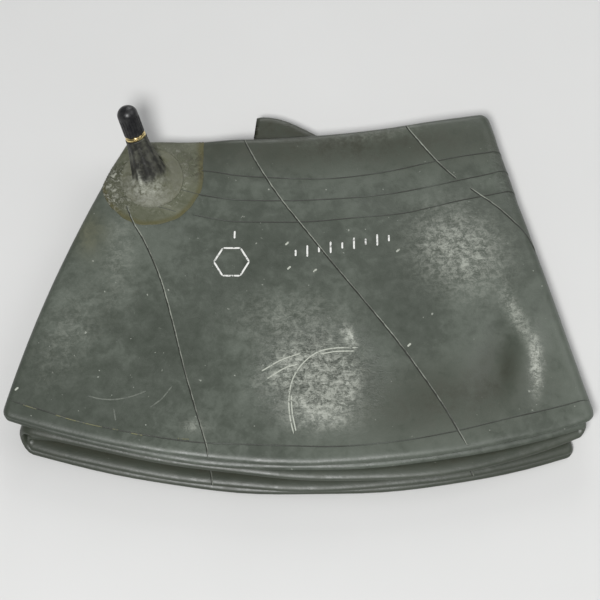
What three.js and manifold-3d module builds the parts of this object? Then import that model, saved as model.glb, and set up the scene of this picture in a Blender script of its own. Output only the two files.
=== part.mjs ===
// An inner tube, deflated and folded away for storage, with its rubber-covered valve.
// Millimetres, +Z up. The origin is on the underside, below the middle of the folded stack; +Y points
// from the tube's outer edge towards its rim side, and +X runs along the fold.
import * as THREE from 'three';
import { mergeVertices } from 'three/addons/utils/BufferGeometryUtils.js';
import Module from 'manifold-3d';

const wasm = await Module();
wasm.setup();

// ---------------------------------------------------------------- driving dimensions

const WALL = 1.5; // rubber wall
const AIR = 0.3; // air left between the two walls of a flattened layer
const LAYER = 2 * WALL + AIR; // one flattened layer of tube
const PITCH = LAYER + 0.4; // from one layer to the next
const LAYERS = 6; // the ring is folded in half, then in three
const EDGE_STEPS = 3; // facets round a flattened edge
const ACROSS_STEPS = 6; // facets from the rim edge to the outer edge
const ALONG_STEPS = 9; // facets along a layer
const BEND_STEPS = 6; // facets round a fold
const EDGE_TUCK = 1.5; // how far the outer edge draws in on its way round a fold

const PUFF = { x: 40, y: -12, halfX: 76, halfY: 62, height: 2.6 }; // air left under the top wall
const PUCKER = { x: -18.5, rise: 5, fall: 40, height: 17.6 }; // spare rubber pushed out of the rim edge

// The valve, along its own axis: heights are above the tube's surface.
const VALVE = { x: -68.5, y: 57.5, lean: 36, leanTowards: 118 }; // degrees; it leans over the rim edge
const GAP = 0.3; // between pieces that touch
const ROUND = 24; // facets round a turned piece
const SMALL_ROUND = 16; // facets round a small turned piece

const PATCH = { r: 23.5, thick: 0.9 };
const FLANGE = { r: 13, thick: 2.2 };
const AIRWAY_R = 1.9; // from the valve stem into the tube
const SLEEVE = { rootR: 8.6, lowR: 7.3, topR: 4.9, flareTop: 5, top: 22.9 };
const STEM = {
  foot: 6, footR: 4.4, footTop: 8.4, bodyR: 3.15, collar: 23.3, collarR: 4.75, collarTop: 24.3,
  threadR: 3.85, tip: 35, tipChamfer: 0.5, chamberR: 2.45, seatTop: 28.6, boreR: 2.2,
};
const CAP = { foot: 25.2, r: 4.75, boreR: 4.0, shoulder: 35.95, domeR: 3.0, top: 39.5, wall: 1.0, flutes: 16 };
const LINER = { foot: 35.1, thick: 0.7, outerR: 3.85, innerR: 2.95 };
const PLUG = { foot: 30.6, threadTop: 33.3, top: 34.2, r: 2.3, boreR: 0.9, tangHalf: 1.3 };
const BARREL = { foot: 23.9, top: 30.3, r: 1.75, boreR: 1.4, neckR: 0.95, neckTop: 24.7, lipR: 1.0, lipFoot: 29.7 };
const SEAL = { foot: 27, top: 29.4, innerR: 1.95, footR: 2.1, topR: 2.3 };
const PIN = { foot: 20.4, top: 34.7, r: 0.6, headR: 1.05, headFoot: 29.0, headTop: 29.5 };
const CUP = { foot: 21, top: 22.9, r: 1.85, wall: 0.25, boreR: 0.75 };
const WASHER = { foot: 21.6, top: 23.6, r: 1.3, boreR: 0.85 };
const SPRING = { foot: 25, top: 28.7, r: 1.0, wireR: 0.17, turns: 6, stepsPerTurn: 12, sides: 6 };

// ---------------------------------------------------------------- solids from surfaces

const point = (x, y, z = 0) => new THREE.Vector3(x, y, z);
const mix = (a, b, share) => a.clone().lerp(b, share);

/** A manifold-3d solid of a closed geometry. */
function solidOf(geometry) {
  const bare = geometry.clone().deleteAttribute('normal').deleteAttribute('uv');
  const merged = mergeVertices(bare, 1e-4);
  return new wasm.Manifold(new wasm.Mesh({
    numProp: 3,
    vertProperties: merged.attributes.position.array,
    triVerts: new Uint32Array(merged.index.array),
  }));
}

/** The three.js geometry of a manifold-3d solid. */
function geometryOf(solid) {
  const mesh = solid.getMesh();
  const geometry = new THREE.BufferGeometry();
  geometry.setAttribute('position', new THREE.BufferAttribute(new Float32Array(mesh.vertProperties), 3));
  geometry.setIndex(new THREE.BufferAttribute(new Uint32Array(mesh.triVerts), 1));
  geometry.computeVertexNormals();
  return geometry;
}

/** A closed surface through rings of points: ring after ring, either round to the first or with flat ends. */
function ringsGeometry(rings, isLoop) {
  const count = rings[0].length;
  const positions = rings.flat().flatMap((p) => [p.x, p.y, p.z]);
  const index = [];
  const last = isLoop ? rings.length : rings.length - 1;
  for (let i = 0; i < last; i++) {
    const next = (i + 1) % rings.length;
    for (let j = 0; j < count; j++) {
      const k = (j + 1) % count;
      const [a, b, c, d] = [i * count + j, next * count + j, next * count + k, i * count + k];
      index.push(a, c, b, a, d, c);
    }
  }
  if (!isLoop) {
    for (let j = 1; j < count - 1; j++) {
      index.push(0, j + 1, j);
      const end = (rings.length - 1) * count;
      index.push(end, end + j, end + j + 1);
    }
  }
  const geometry = new THREE.BufferGeometry();
  geometry.setAttribute('position', new THREE.BufferAttribute(new Float32Array(positions), 3));
  geometry.setIndex(index);
  return geometry;
}

/** A turned piece about +Z, from its outline of [radius, height] pairs. */
function turned(outline, sides = ROUND) {
  const profile = outline.map(([r, h]) => new THREE.Vector2(r, h));
  return new THREE.LatheGeometry(profile, sides).rotateX(Math.PI / 2);
}

/** A ring about +Z with a rectangular section. */
function ring(innerR, outerR, foot, top, sides = ROUND) {
  return turned([[innerR, foot], [outerR, foot], [outerR, top], [innerR, top], [innerR, foot]], sides);
}

/** A solid rod about +Z. */
function rod(r, foot, top, sides = ROUND) {
  return turned([[0, foot], [r, foot], [r, top], [0, top]], sides);
}

// ---------------------------------------------------------------- the folded tube

// Where each layer turns over, from the top layer down: the rim-side and outer ends of its two fold lines,
// how far its outer and rim edges curve out (+) or in (-) between them, and how far its left fold bows out.
const sheetOf = (left, right, outer, rim, bow, pucker = false) => ({
  left: [point(...left[0]), point(...left[1])], right: [point(...right[0]), point(...right[1])], outer, rim, bow, pucker,
});
const sheets = [
  sheetOf([[-76.8, 77.4], [-128.5, -59.2]], [[84, 92], [125.2, -60.8]], 21.5, -4.6, 5.2),
  sheetOf([[-76.8, 77.4], [-128.5, -59.2]], [[83, 90.5], [124.4, -61.5]], 22.2, -4, 5.2),
  sheetOf([[-71, 70], [-119, -64]], [[82, 88.5], [123.6, -62.2]], 20.4, 0, 2, true),
  sheetOf([[-70.7, 69], [-118.6, -65.6]], [[81, 87], [122.8, -63]], 17, 0, 2),
  sheetOf([[-70.4, 67.6], [-118.8, -67]], [[79, 69.5], [120.2, -72.6]], 19.2, 0, 2),
  sheetOf([[-70, 66], [-118.4, -68.6]], [[79, 69.5], [120.2, -72.6]], 18.8, 0, 2),
];

// The way round the ring: from the top layer down the wrap at its right, and back up to its left.
const route = [0, 3, 4, 5, 2, 1];

const heightOf = (layer) => LAYER / 2 + (LAYERS - 1 - layer) * PITCH;

/** The spare rubber at the rim edge: a steep rise and a long fall either side of its crest. */
function puckerAt(x) {
  const side = x < PUCKER.x ? PUCKER.rise : PUCKER.fall;
  const reach = Math.min(1, Math.abs(x - PUCKER.x) / side);
  return PUCKER.height * (1 - reach * reach) ** 2;
}

/** How far trapped air lifts the top wall of the top layer. */
function puffAt(x, y) {
  const reach = Math.min(1, Math.hypot((x - PUFF.x) / PUFF.halfX, (y - PUFF.y) / PUFF.halfY));
  return PUFF.height * (1 - reach * reach) ** 2;
}

/** The line across layer k, at a share of the way from left to right: its two ends and its bow to the left. */
function lineAcross(k, share) {
  const { left, right, outer, rim, bow: leftBow, pucker } = sheets[k];
  const bow = 4 * share * (1 - share);
  const inner = mix(left[0], right[0], share);
  inner.y += rim * bow + (pucker ? puckerAt(inner.x) : 0);
  const edge = mix(left[1], right[1], share);
  edge.y -= outer * bow;
  inner.z = edge.z = heightOf(k);
  return [inner, edge, point(-leftBow * (1 - share) ** 2, 0)];
}

/** Lines across the tube, with the side that each one's upper wall faces, all the way round the ring. */
function stationsRound() {
  const stations = [];
  route.forEach((k, turn) => {
    const isLeftToRight = turn % 2 === 0;
    const up = isLeftToRight ? 1 : -1;
    const steps = sheets[k].pucker ? 2 * ALONG_STEPS : ALONG_STEPS;
    for (let i = 0; i <= steps; i++) {
      const share = isLeftToRight ? i / steps : 1 - i / steps;
      stations.push({ line: lineAcross(k, share), normal: point(0, 0, up), isTop: k === 0 });
    }
    stations.push(...bendBetween(k, route[(turn + 1) % LAYERS], isLeftToRight ? 'right' : 'left'));
  });
  return stations;
}

/** The half turn that joins layer a to layer b, bulging out as far as it is high. */
function bendBetween(a, b, side) {
  const share = side === 'right' ? 1 : 0;
  const from = lineAcross(a, share);
  const to = lineAcross(b, share);
  const along = from[1].clone().sub(from[0]).add(to[1]).sub(to[0]).setZ(0).normalize();
  const out = side === 'right' ? point(-along.y, along.x) : point(along.y, -along.x);
  const bulge = Math.abs(from[0].z - to[0].z) / 2;
  const stations = [];
  for (let i = 1; i < BEND_STEPS; i++) {
    const angle = Math.PI * i / BEND_STEPS;
    const line = [0, 1].map((end) => mix(from[end], to[end], (1 - Math.cos(angle)) / 2)
      .addScaledVector(out, bulge * Math.sin(angle)));
    line.push(mix(from[2], to[2], (1 - Math.cos(angle)) / 2));
    line[1].addScaledVector(along, -EDGE_TUCK * Math.sin(angle) ** 2 * Math.min(1, bulge / PITCH));
    const tangent = to[0].clone().sub(from[0]).multiplyScalar(Math.sin(angle) / 2)
      .addScaledVector(out, bulge * Math.cos(angle));
    const normal = line[1].clone().sub(line[0]).cross(tangent).normalize();
    stations.push({ line, normal, isTop: false });
  }
  return stations;
}

/**
 * The closed outline of the flattened tube at one station. `inset` moves it in from the outer skin, and
 * `half` is half its thickness there.
 */
function sectionAt({ line, normal, isTop }, inset, half, edgeSteps) {
  const [inner, edge, bow] = line;
  const width = inner.distanceTo(edge);
  const place = (q, w) => {
    const share = Math.min(1, Math.max(0, q / width));
    const p = mix(inner, edge, q / width).addScaledVector(bow, 4 * share * (1 - share));
    const lift = isTop && w > 0 ? puffAt(p.x, p.y) : 0;
    return p.addScaledVector(normal, w + lift);
  };
  const outline = [];
  const run = width - 2 * inset - 2 * half;
  for (let i = 0; i <= ACROSS_STEPS; i++) outline.push(place(inset + half + run * i / ACROSS_STEPS, half));
  for (let i = 1; i < edgeSteps; i++) {
    const a = Math.PI * i / edgeSteps;
    outline.push(place(width - inset - half + half * Math.sin(a), half * Math.cos(a)));
  }
  for (let i = ACROSS_STEPS; i >= 0; i--) outline.push(place(inset + half + run * i / ACROSS_STEPS, -half));
  for (let i = 1; i < edgeSteps; i++) {
    const a = Math.PI * i / edgeSteps;
    outline.push(place(inset + half - half * Math.sin(a), -half * Math.cos(a)));
  }
  return outline;
}

/** The solid swept through a run of stations. */
function swept(stations, inset, half, edgeSteps, isLoop) {
  return solidOf(ringsGeometry(stations.map((s) => sectionAt(s, inset, half, edgeSteps)), isLoop));
}

// ---------------------------------------------------------------- the valve's place on the tube

const topOfTube = heightOf(0) + LAYER / 2;
const valve = new THREE.Group();
valve.position.set(VALVE.x, VALVE.y, topOfTube);
valve.rotation.set(0, THREE.MathUtils.degToRad(VALVE.lean), THREE.MathUtils.degToRad(VALVE.leanTowards), 'ZYX');
valve.updateMatrix();

/** A geometry along the valve's axis, put where it stands on the tube. */
const onValve = (geometry) => geometry.applyMatrix4(valve.matrix);

/** A vertical rod at the valve's foot, with heights above the tube's surface. */
function underValve(r, foot, top, sides = ROUND) {
  return rod(r, foot, top, sides).translate(VALVE.x, VALVE.y, topOfTube);
}

const airway = (foot, top) => solidOf(onValve(rod(AIRWAY_R, foot, top, SMALL_ROUND)));

/** The flattened, folded ring: both walls, the air between them and the hole under the valve. */
function tubeBody() {
  const stations = stationsRound();
  const skin = swept(stations, 0, LAYER / 2, EDGE_STEPS, true);
  const air = swept(stations, WALL, AIR / 2, 1, true);
  return geometryOf(skin.subtract(air).subtract(airway(-WALL - 1, 3)));
}

/** A round of thin rubber that follows the top layer, down over its fold and its rim edge. */
function valvePatch() {
  const stations = stationsRound();
  const bendAtLeft = stations.slice(1 - BEND_STEPS);
  const run = [...bendAtLeft, ...stations.slice(0, ALONG_STEPS + 1)];
  const outerSkin = swept(run, -GAP - PATCH.thick, LAYER / 2 + GAP + PATCH.thick, EDGE_STEPS, false);
  const innerSkin = swept(run, -GAP, LAYER / 2 + GAP, EDGE_STEPS, false);
  const disc = solidOf(underValve(PATCH.r, -LAYER / 2, 5, 2 * ROUND));
  return geometryOf(outerSkin.subtract(innerSkin).intersect(disc).subtract(airway(-3, 4)));
}

/** The moulded rubber of the valve: a flat round base and the leaning sleeve that grows out of it. */
function valveRubber() {
  const foot = GAP + PATCH.thick + GAP;
  const flange = solidOf(underValve(FLANGE.r, foot, foot + FLANGE.thick, 2 * ROUND));
  const sleeve = solidOf(onValve(turned([
    [0, -4], [SLEEVE.rootR, -4], [SLEEVE.rootR, 1], [SLEEVE.lowR, SLEEVE.flareTop],
    [SLEEVE.topR + 0.5, SLEEVE.top - 3], [SLEEVE.topR, SLEEVE.top], [0, SLEEVE.top],
  ], 2 * ROUND)));
  const below = solidOf(underValve(3 * FLANGE.r, -20, foot));
  const stemHole = solidOf(onValve(turned([
    [0, STEM.foot - GAP], [STEM.footR + GAP, STEM.foot - GAP], [STEM.footR + GAP, STEM.footTop + GAP],
    [STEM.bodyR + GAP, STEM.footTop + GAP], [STEM.bodyR + GAP, SLEEVE.top + 1], [0, SLEEVE.top + 1],
  ])));
  return geometryOf(flange.add(sleeve).subtract(below).subtract(stemHole).subtract(airway(-4, STEM.foot)));
}

// ---------------------------------------------------------------- turned and moulded valve parts

/** The brass stem: its foot, the shoulder above the rubber, the cap's thread and the core's chamber. */
function valveStem() {
  return turned([
    [STEM.boreR, STEM.foot], [STEM.footR, STEM.foot], [STEM.footR, STEM.footTop], [STEM.bodyR, STEM.footTop],
    [STEM.bodyR, STEM.collar], [STEM.collarR, STEM.collar], [STEM.collarR, STEM.collarTop],
    [STEM.threadR, STEM.collarTop], [STEM.threadR, STEM.tip - STEM.tipChamfer],
    [STEM.threadR - STEM.tipChamfer, STEM.tip], [STEM.chamberR, STEM.tip], [STEM.chamberR, STEM.seatTop],
    [STEM.boreR, STEM.seatTop - 1.5], [STEM.boreR, STEM.foot],
  ]);
}

/** The cap: a fluted round body, its thread bore, the shoulder for the liner and the hollow of its dome. */
function dustCap() {
  const domeFoot = CAP.top - CAP.r;
  const arc = (r, foot, steps) => Array.from({ length: steps }, (_, i) => {
    const a = Math.PI / 2 * i / steps;
    return [r * Math.cos(a), foot + r * Math.sin(a)];
  });
  const outside = solidOf(turned([[0, CAP.foot], [CAP.r - 0.3, CAP.foot], [CAP.r, CAP.foot + 0.3],
    ...arc(CAP.r, domeFoot, 6), [0, CAP.top]], 2 * ROUND));
  const domeTop = CAP.top - CAP.wall;
  const hollow = solidOf(turned([[0, CAP.foot - 1], [CAP.boreR, CAP.foot - 1], [CAP.boreR, CAP.shoulder],
    [CAP.domeR, CAP.shoulder], [CAP.domeR, CAP.shoulder + 0.8], [CAP.domeR - 0.9, domeTop], [0, domeTop]]));
  let cap = outside.subtract(hollow);
  for (let i = 0; i < CAP.flutes; i++) {
    const a = 2 * Math.PI * i / CAP.flutes;
    const flute = rod(0.35, CAP.foot - 1, domeFoot - 0.6, 6).translate((CAP.r + 0.12) * Math.cos(a), (CAP.r + 0.12) * Math.sin(a), 0);
    cap = cap.subtract(solidOf(flute));
  }
  return geometryOf(cap);
}

/** The core's plug: the threaded round that a core key turns, and the flat tang that the key grips. */
function corePlug() {
  const round = solidOf(ring(PLUG.boreR, PLUG.r, PLUG.foot, PLUG.top, SMALL_ROUND));
  const height = PLUG.top - PLUG.threadTop;
  const middle = PLUG.threadTop + height / 2 + 0.5;
  const flats = [-1, 1].map((side) => solidOf(new THREE.BoxGeometry(8, 4, height + 1)
    .translate(0, side * (PLUG.tangHalf + 2), middle)));
  return geometryOf(flats.reduce((solid, flat) => solid.subtract(flat), round));
}

/** The core's barrel, open at its foot for air and lipped at its head. */
function coreBarrel() {
  return turned([
    [BARREL.neckR, BARREL.foot], [BARREL.r, BARREL.foot], [BARREL.r, BARREL.top], [BARREL.lipR, BARREL.top],
    [BARREL.lipR, BARREL.lipFoot], [BARREL.boreR, BARREL.lipFoot], [BARREL.boreR, BARREL.neckTop],
    [BARREL.neckR, BARREL.neckTop], [BARREL.neckR, BARREL.foot],
  ], SMALL_ROUND);
}

/** The cone of the core's seal. */
function coreSeal() {
  return turned([[SEAL.innerR, SEAL.foot], [SEAL.footR, SEAL.foot], [SEAL.topR, SEAL.top], [SEAL.innerR, SEAL.top],
    [SEAL.innerR, SEAL.foot]], SMALL_ROUND);
}

/** The pin, with the head that the spring pushes on. */
function corePin() {
  return turned([[0, PIN.foot], [PIN.r, PIN.foot], [PIN.r, PIN.headFoot], [PIN.headR, PIN.headFoot],
    [PIN.headR, PIN.headTop], [PIN.r, PIN.headTop], [PIN.r, PIN.top], [0, PIN.top]], SMALL_ROUND);
}

/** The cup at the pin's foot, which holds the washer. */
function coreCup() {
  return turned([[CUP.boreR, CUP.foot], [CUP.r, CUP.foot], [CUP.r, CUP.top], [CUP.r - CUP.wall, CUP.top],
    [CUP.r - CUP.wall, CUP.foot + CUP.wall], [CUP.boreR, CUP.foot + CUP.wall], [CUP.boreR, CUP.foot]], SMALL_ROUND);
}

/** A round wire wound round the valve's axis. */
class Helix extends THREE.Curve {
  getPoint(share, target = new THREE.Vector3()) {
    const a = 2 * Math.PI * SPRING.turns * share;
    return target.set(SPRING.r * Math.cos(a), SPRING.r * Math.sin(a), SPRING.foot + (SPRING.top - SPRING.foot) * share);
  }
}

function coreSpring() {
  const wire = new THREE.Shape(Array.from({ length: SPRING.sides }, (_, i) => {
    const a = 2 * Math.PI * i / SPRING.sides;
    return new THREE.Vector2(SPRING.wireR * Math.cos(a), SPRING.wireR * Math.sin(a));
  }));
  return new THREE.ExtrudeGeometry(wire, {
    extrudePath: new Helix(), steps: SPRING.turns * SPRING.stepsPerTurn, bevelEnabled: false,
  });
}

// ---------------------------------------------------------------- materials and assembly

const butyl = new THREE.MeshStandardMaterial({ color: 0x4b514b, roughness: 0.55, metalness: 0 });
const glued = new THREE.MeshStandardMaterial({ color: 0x68664a, roughness: 0.6, metalness: 0 });
const moulded = new THREE.MeshStandardMaterial({ color: 0x33342f, roughness: 0.5, metalness: 0 });
const brass = new THREE.MeshStandardMaterial({ color: 0xb08d3c, roughness: 0.3, metalness: 1 });
const plastic = new THREE.MeshStandardMaterial({ color: 0x1d1d1f, roughness: 0.35, metalness: 0 });
const softSeal = new THREE.MeshStandardMaterial({ color: 0x8c2f22, roughness: 0.5, metalness: 0 });
const steel = new THREE.MeshStandardMaterial({ color: 0xb9bcc0, roughness: 0.25, metalness: 1 });

function named(name, geometry, material) {
  const mesh = new THREE.Mesh(geometry, material);
  mesh.name = name;
  return mesh;
}

valve.add(
  named('valve_stem', valveStem(), brass),
  named('dust_cap', dustCap(), plastic),
  named('cap_liner', ring(LINER.innerR, LINER.outerR, LINER.foot, LINER.foot + LINER.thick), softSeal),
  named('core_plug', corePlug(), brass),
  named('core_barrel', coreBarrel(), brass),
  named('core_seal', coreSeal(), softSeal),
  named('core_pin', corePin(), steel),
  named('core_cup', coreCup(), brass),
  named('core_washer', ring(WASHER.boreR, WASHER.r, WASHER.foot, WASHER.top, SMALL_ROUND), softSeal),
  named('core_spring', coreSpring(), steel),
);

const innerTube = new THREE.Group();
innerTube.add(
  named('tube_body', tubeBody(), butyl),
  named('valve_patch', valvePatch(), glued),
  named('valve_rubber', valveRubber(), moulded),
  valve,
);

export default innerTube;
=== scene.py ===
"""A deflated inner tube, folded flat for storage, with its rubber-covered valve.

Lengths in this file are millimetres in the CAD model's frame until a mesh is made, and then metres. The
tube is one closed ring: six flattened layers joined by half-turn folds. A place on its skin is given by
u, which runs along the ring, and d, the distance across it from the rim-side edge.
"""

import logging
import math
from dataclasses import dataclass, field
from enum import Enum
from typing import Any, Iterable, Sequence

import bpy
import numpy as np
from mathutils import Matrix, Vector


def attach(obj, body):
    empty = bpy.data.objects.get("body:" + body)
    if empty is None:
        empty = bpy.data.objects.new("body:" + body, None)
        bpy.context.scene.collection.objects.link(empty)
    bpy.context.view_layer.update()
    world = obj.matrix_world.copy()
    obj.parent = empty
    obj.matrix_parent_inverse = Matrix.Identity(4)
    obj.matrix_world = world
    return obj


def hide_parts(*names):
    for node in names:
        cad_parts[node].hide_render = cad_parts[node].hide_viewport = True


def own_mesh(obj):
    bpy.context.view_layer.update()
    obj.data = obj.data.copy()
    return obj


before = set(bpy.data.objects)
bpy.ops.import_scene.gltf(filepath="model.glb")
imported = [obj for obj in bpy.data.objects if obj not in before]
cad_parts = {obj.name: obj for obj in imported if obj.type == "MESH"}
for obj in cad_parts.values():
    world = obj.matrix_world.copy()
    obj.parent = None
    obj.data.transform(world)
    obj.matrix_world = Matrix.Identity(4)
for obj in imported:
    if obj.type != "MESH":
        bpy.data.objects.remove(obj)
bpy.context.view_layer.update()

log = logging.getLogger("inner_tube")

Array = np.ndarray
Colour = tuple[float, float, float]
Pair = tuple[float, float]
Triple = tuple[float, float, float]

MM = 0.001


# ------------------------------------------------------------------------------ names of options


class Body(Enum):
    """The rigid bodies that pieces ride on."""

    TUBE = "tube"
    CAP = "cap"
    CAP_LINING = "cap_lining"
    CORE = "core"
    CORE_TURNER = "core_turner"
    CORE_PLUNGER = "core_plunger"


class Channel(Enum):
    """Vertex attributes that carry a mark from the shape to its finish."""

    # Talc, and on the tube also painted highlights.
    TALC_AND_HIGHLIGHT = "talc"
    CRINKLE = "crinkle"
    # Dirt, and painted shade on the tube's lower layers and on the stem's thread under the cap.
    GRIME_AND_SHADE = "grime"
    CEMENT = "cement"
    SIDE = "side"


# ------------------------------------------------------------------------------ mesh helpers


def unit(vectors: Array) -> Array:
    """Vectors divided by their own lengths.

    Args:
        vectors: An array whose last axis is x, y, z.

    Returns:
        The same array with every vector one long.
    """
    return vectors / np.maximum(np.linalg.norm(vectors, axis=-1, keepdims=True), 1e-9)


def smoothstep(low: float, high: float, value: Array) -> Array:
    """An S curve: 0 below low, 1 above high, 3t^2 - 2t^3 between.

    Args:
        low: Where the curve leaves 0.
        high: Where it reaches 1.
        value: Where it is read.

    Returns:
        The curve's values.
    """
    t = np.clip((value - low) / (high - low), 0, 1)
    return t * t * (3 - 2 * t)


def spline(points: Sequence[Sequence[float]], count: int) -> Array:
    """A Catmull-Rom curve through points, at even steps of its own length.

    Args:
        points: Two or more points of any dimension.
        count: How many samples to take.

    Returns:
        The samples, one a row.
    """
    p = np.asarray(points, float)
    if len(p) == 2:
        return p[0] + (p[1] - p[0]) * np.linspace(0, 1, count)[:, None]
    padded = np.vstack([2 * p[0] - p[1], p, 2 * p[-1] - p[-2]])
    t = np.linspace(0, len(p) - 1, 40 * len(p))
    i = np.minimum(t.astype(int), len(p) - 2)
    f = (t - i)[:, None]
    a, b, c, e = (padded[i + k] for k in range(4))
    curve = 0.5 * (2 * b + (c - a) * f + (2 * a - 5 * b + 4 * c - e) * f**2 + (3 * b - a - 3 * c + e) * f**3)
    length = np.concatenate([[0], np.cumsum(np.linalg.norm(np.diff(curve, axis=0), axis=1))])
    even = np.linspace(0, length[-1], count)
    return np.stack([np.interp(even, length, curve[:, k]) for k in range(p.shape[1])], axis=1)


def make_mesh(name: str, points: Array, loop_u: bool) -> bpy.types.Object:
    """A smooth mesh over a grid of points whose last column joins its first.

    Args:
        name: The object's name.
        points: A (rows, columns, 3) array in millimetres.
        loop_u: Whether the last row joins the first. If not, each of the two is closed by one face.

    Returns:
        The object, at the origin, with its place in its mesh.
    """
    rows, columns = points.shape[:2]
    i, j = np.meshgrid(np.arange(rows if loop_u else rows - 1), np.arange(columns), indexing="ij")
    k, m = (i + 1) % rows, (j + 1) % columns
    quads = np.stack([i * columns + j, i * columns + m, k * columns + m, k * columns + j], axis=-1)
    faces = quads.reshape(-1, 4).tolist()
    if not loop_u:
        faces += [np.arange(columns)[::-1].tolist(), (np.arange(columns) + (rows - 1) * columns).tolist()]
    mesh = bpy.data.meshes.new(name)
    mesh.from_pydata((points.reshape(-1, 3) * MM).tolist(), [], faces)
    mesh.polygons.foreach_set("use_smooth", np.ones(len(faces), bool))
    mesh.update()
    if signed_volume(mesh) < 0:
        mesh.flip_normals()
    obj = bpy.data.objects.new(name, mesh)
    bpy.context.scene.collection.objects.link(obj)
    return obj


def signed_volume(mesh: bpy.types.Mesh) -> float:
    """The volume a closed mesh holds, negative when its faces point inwards.

    Args:
        mesh: The mesh to measure.

    Returns:
        A sixth of the sum of a . (b x c) over its triangles.
    """
    mesh.calc_loop_triangles()
    index = np.empty(len(mesh.loop_triangles) * 3, np.int32)
    mesh.loop_triangles.foreach_get("vertices", index)
    place = np.empty(len(mesh.vertices) * 3, np.float32)
    mesh.vertices.foreach_get("co", place)
    a, b, c = place.reshape(-1, 3)[index.reshape(-1, 3)].astype(float).transpose(1, 0, 2)
    return float((a * np.cross(b, c)).sum() / 6)


def mark(obj: bpy.types.Object, channel: Channel, values: Array) -> None:
    """Stores one number a vertex for a finish to read.

    Args:
        obj: The piece.
        channel: Which mark it is.
        values: One value for each vertex.
    """
    layer = obj.data.attributes.new(channel.value, "FLOAT", "POINT")
    layer.data.foreach_set("value", np.ascontiguousarray(values, np.float32).ravel())


def rounded(outline: Sequence[Pair], radius: float, steps: int = 4, closed: bool = True) -> Array:
    """An outline with each corner cut by a short curve.

    The curve is (1 - t)^2 a + 2t(1 - t) p + t^2 b, from a point a before the corner p to b after it.

    Args:
        outline: The corners.
        radius: How far from its corner each curve starts, where the sides are long enough.
        steps: Points in each curve.
        closed: Whether the outline comes back to its start.

    Returns:
        The rounded outline's points.
    """
    p = np.asarray(outline, float)
    before, after = np.roll(p, 1, 0) - p, np.roll(p, -1, 0) - p
    reach_b = np.minimum(radius, 0.45 * np.linalg.norm(before, axis=1))[:, None]
    reach_a = np.minimum(radius, 0.45 * np.linalg.norm(after, axis=1))[:, None]
    a, b = p + unit(before) * reach_b, p + unit(after) * reach_a
    t = np.linspace(0, 1, steps)[:, None, None]
    curves = ((1 - t) ** 2 * a + 2 * t * (1 - t) * p + t**2 * b).transpose(1, 0, 2)
    if not closed:
        curves[0], curves[-1] = p[0], p[-1]
        return np.vstack([p[:1], curves[1:-1].reshape(-1, 2), p[-1:]])
    return curves.reshape(-1, 2)


# ------------------------------------------------------------------------------ finishes


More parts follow.
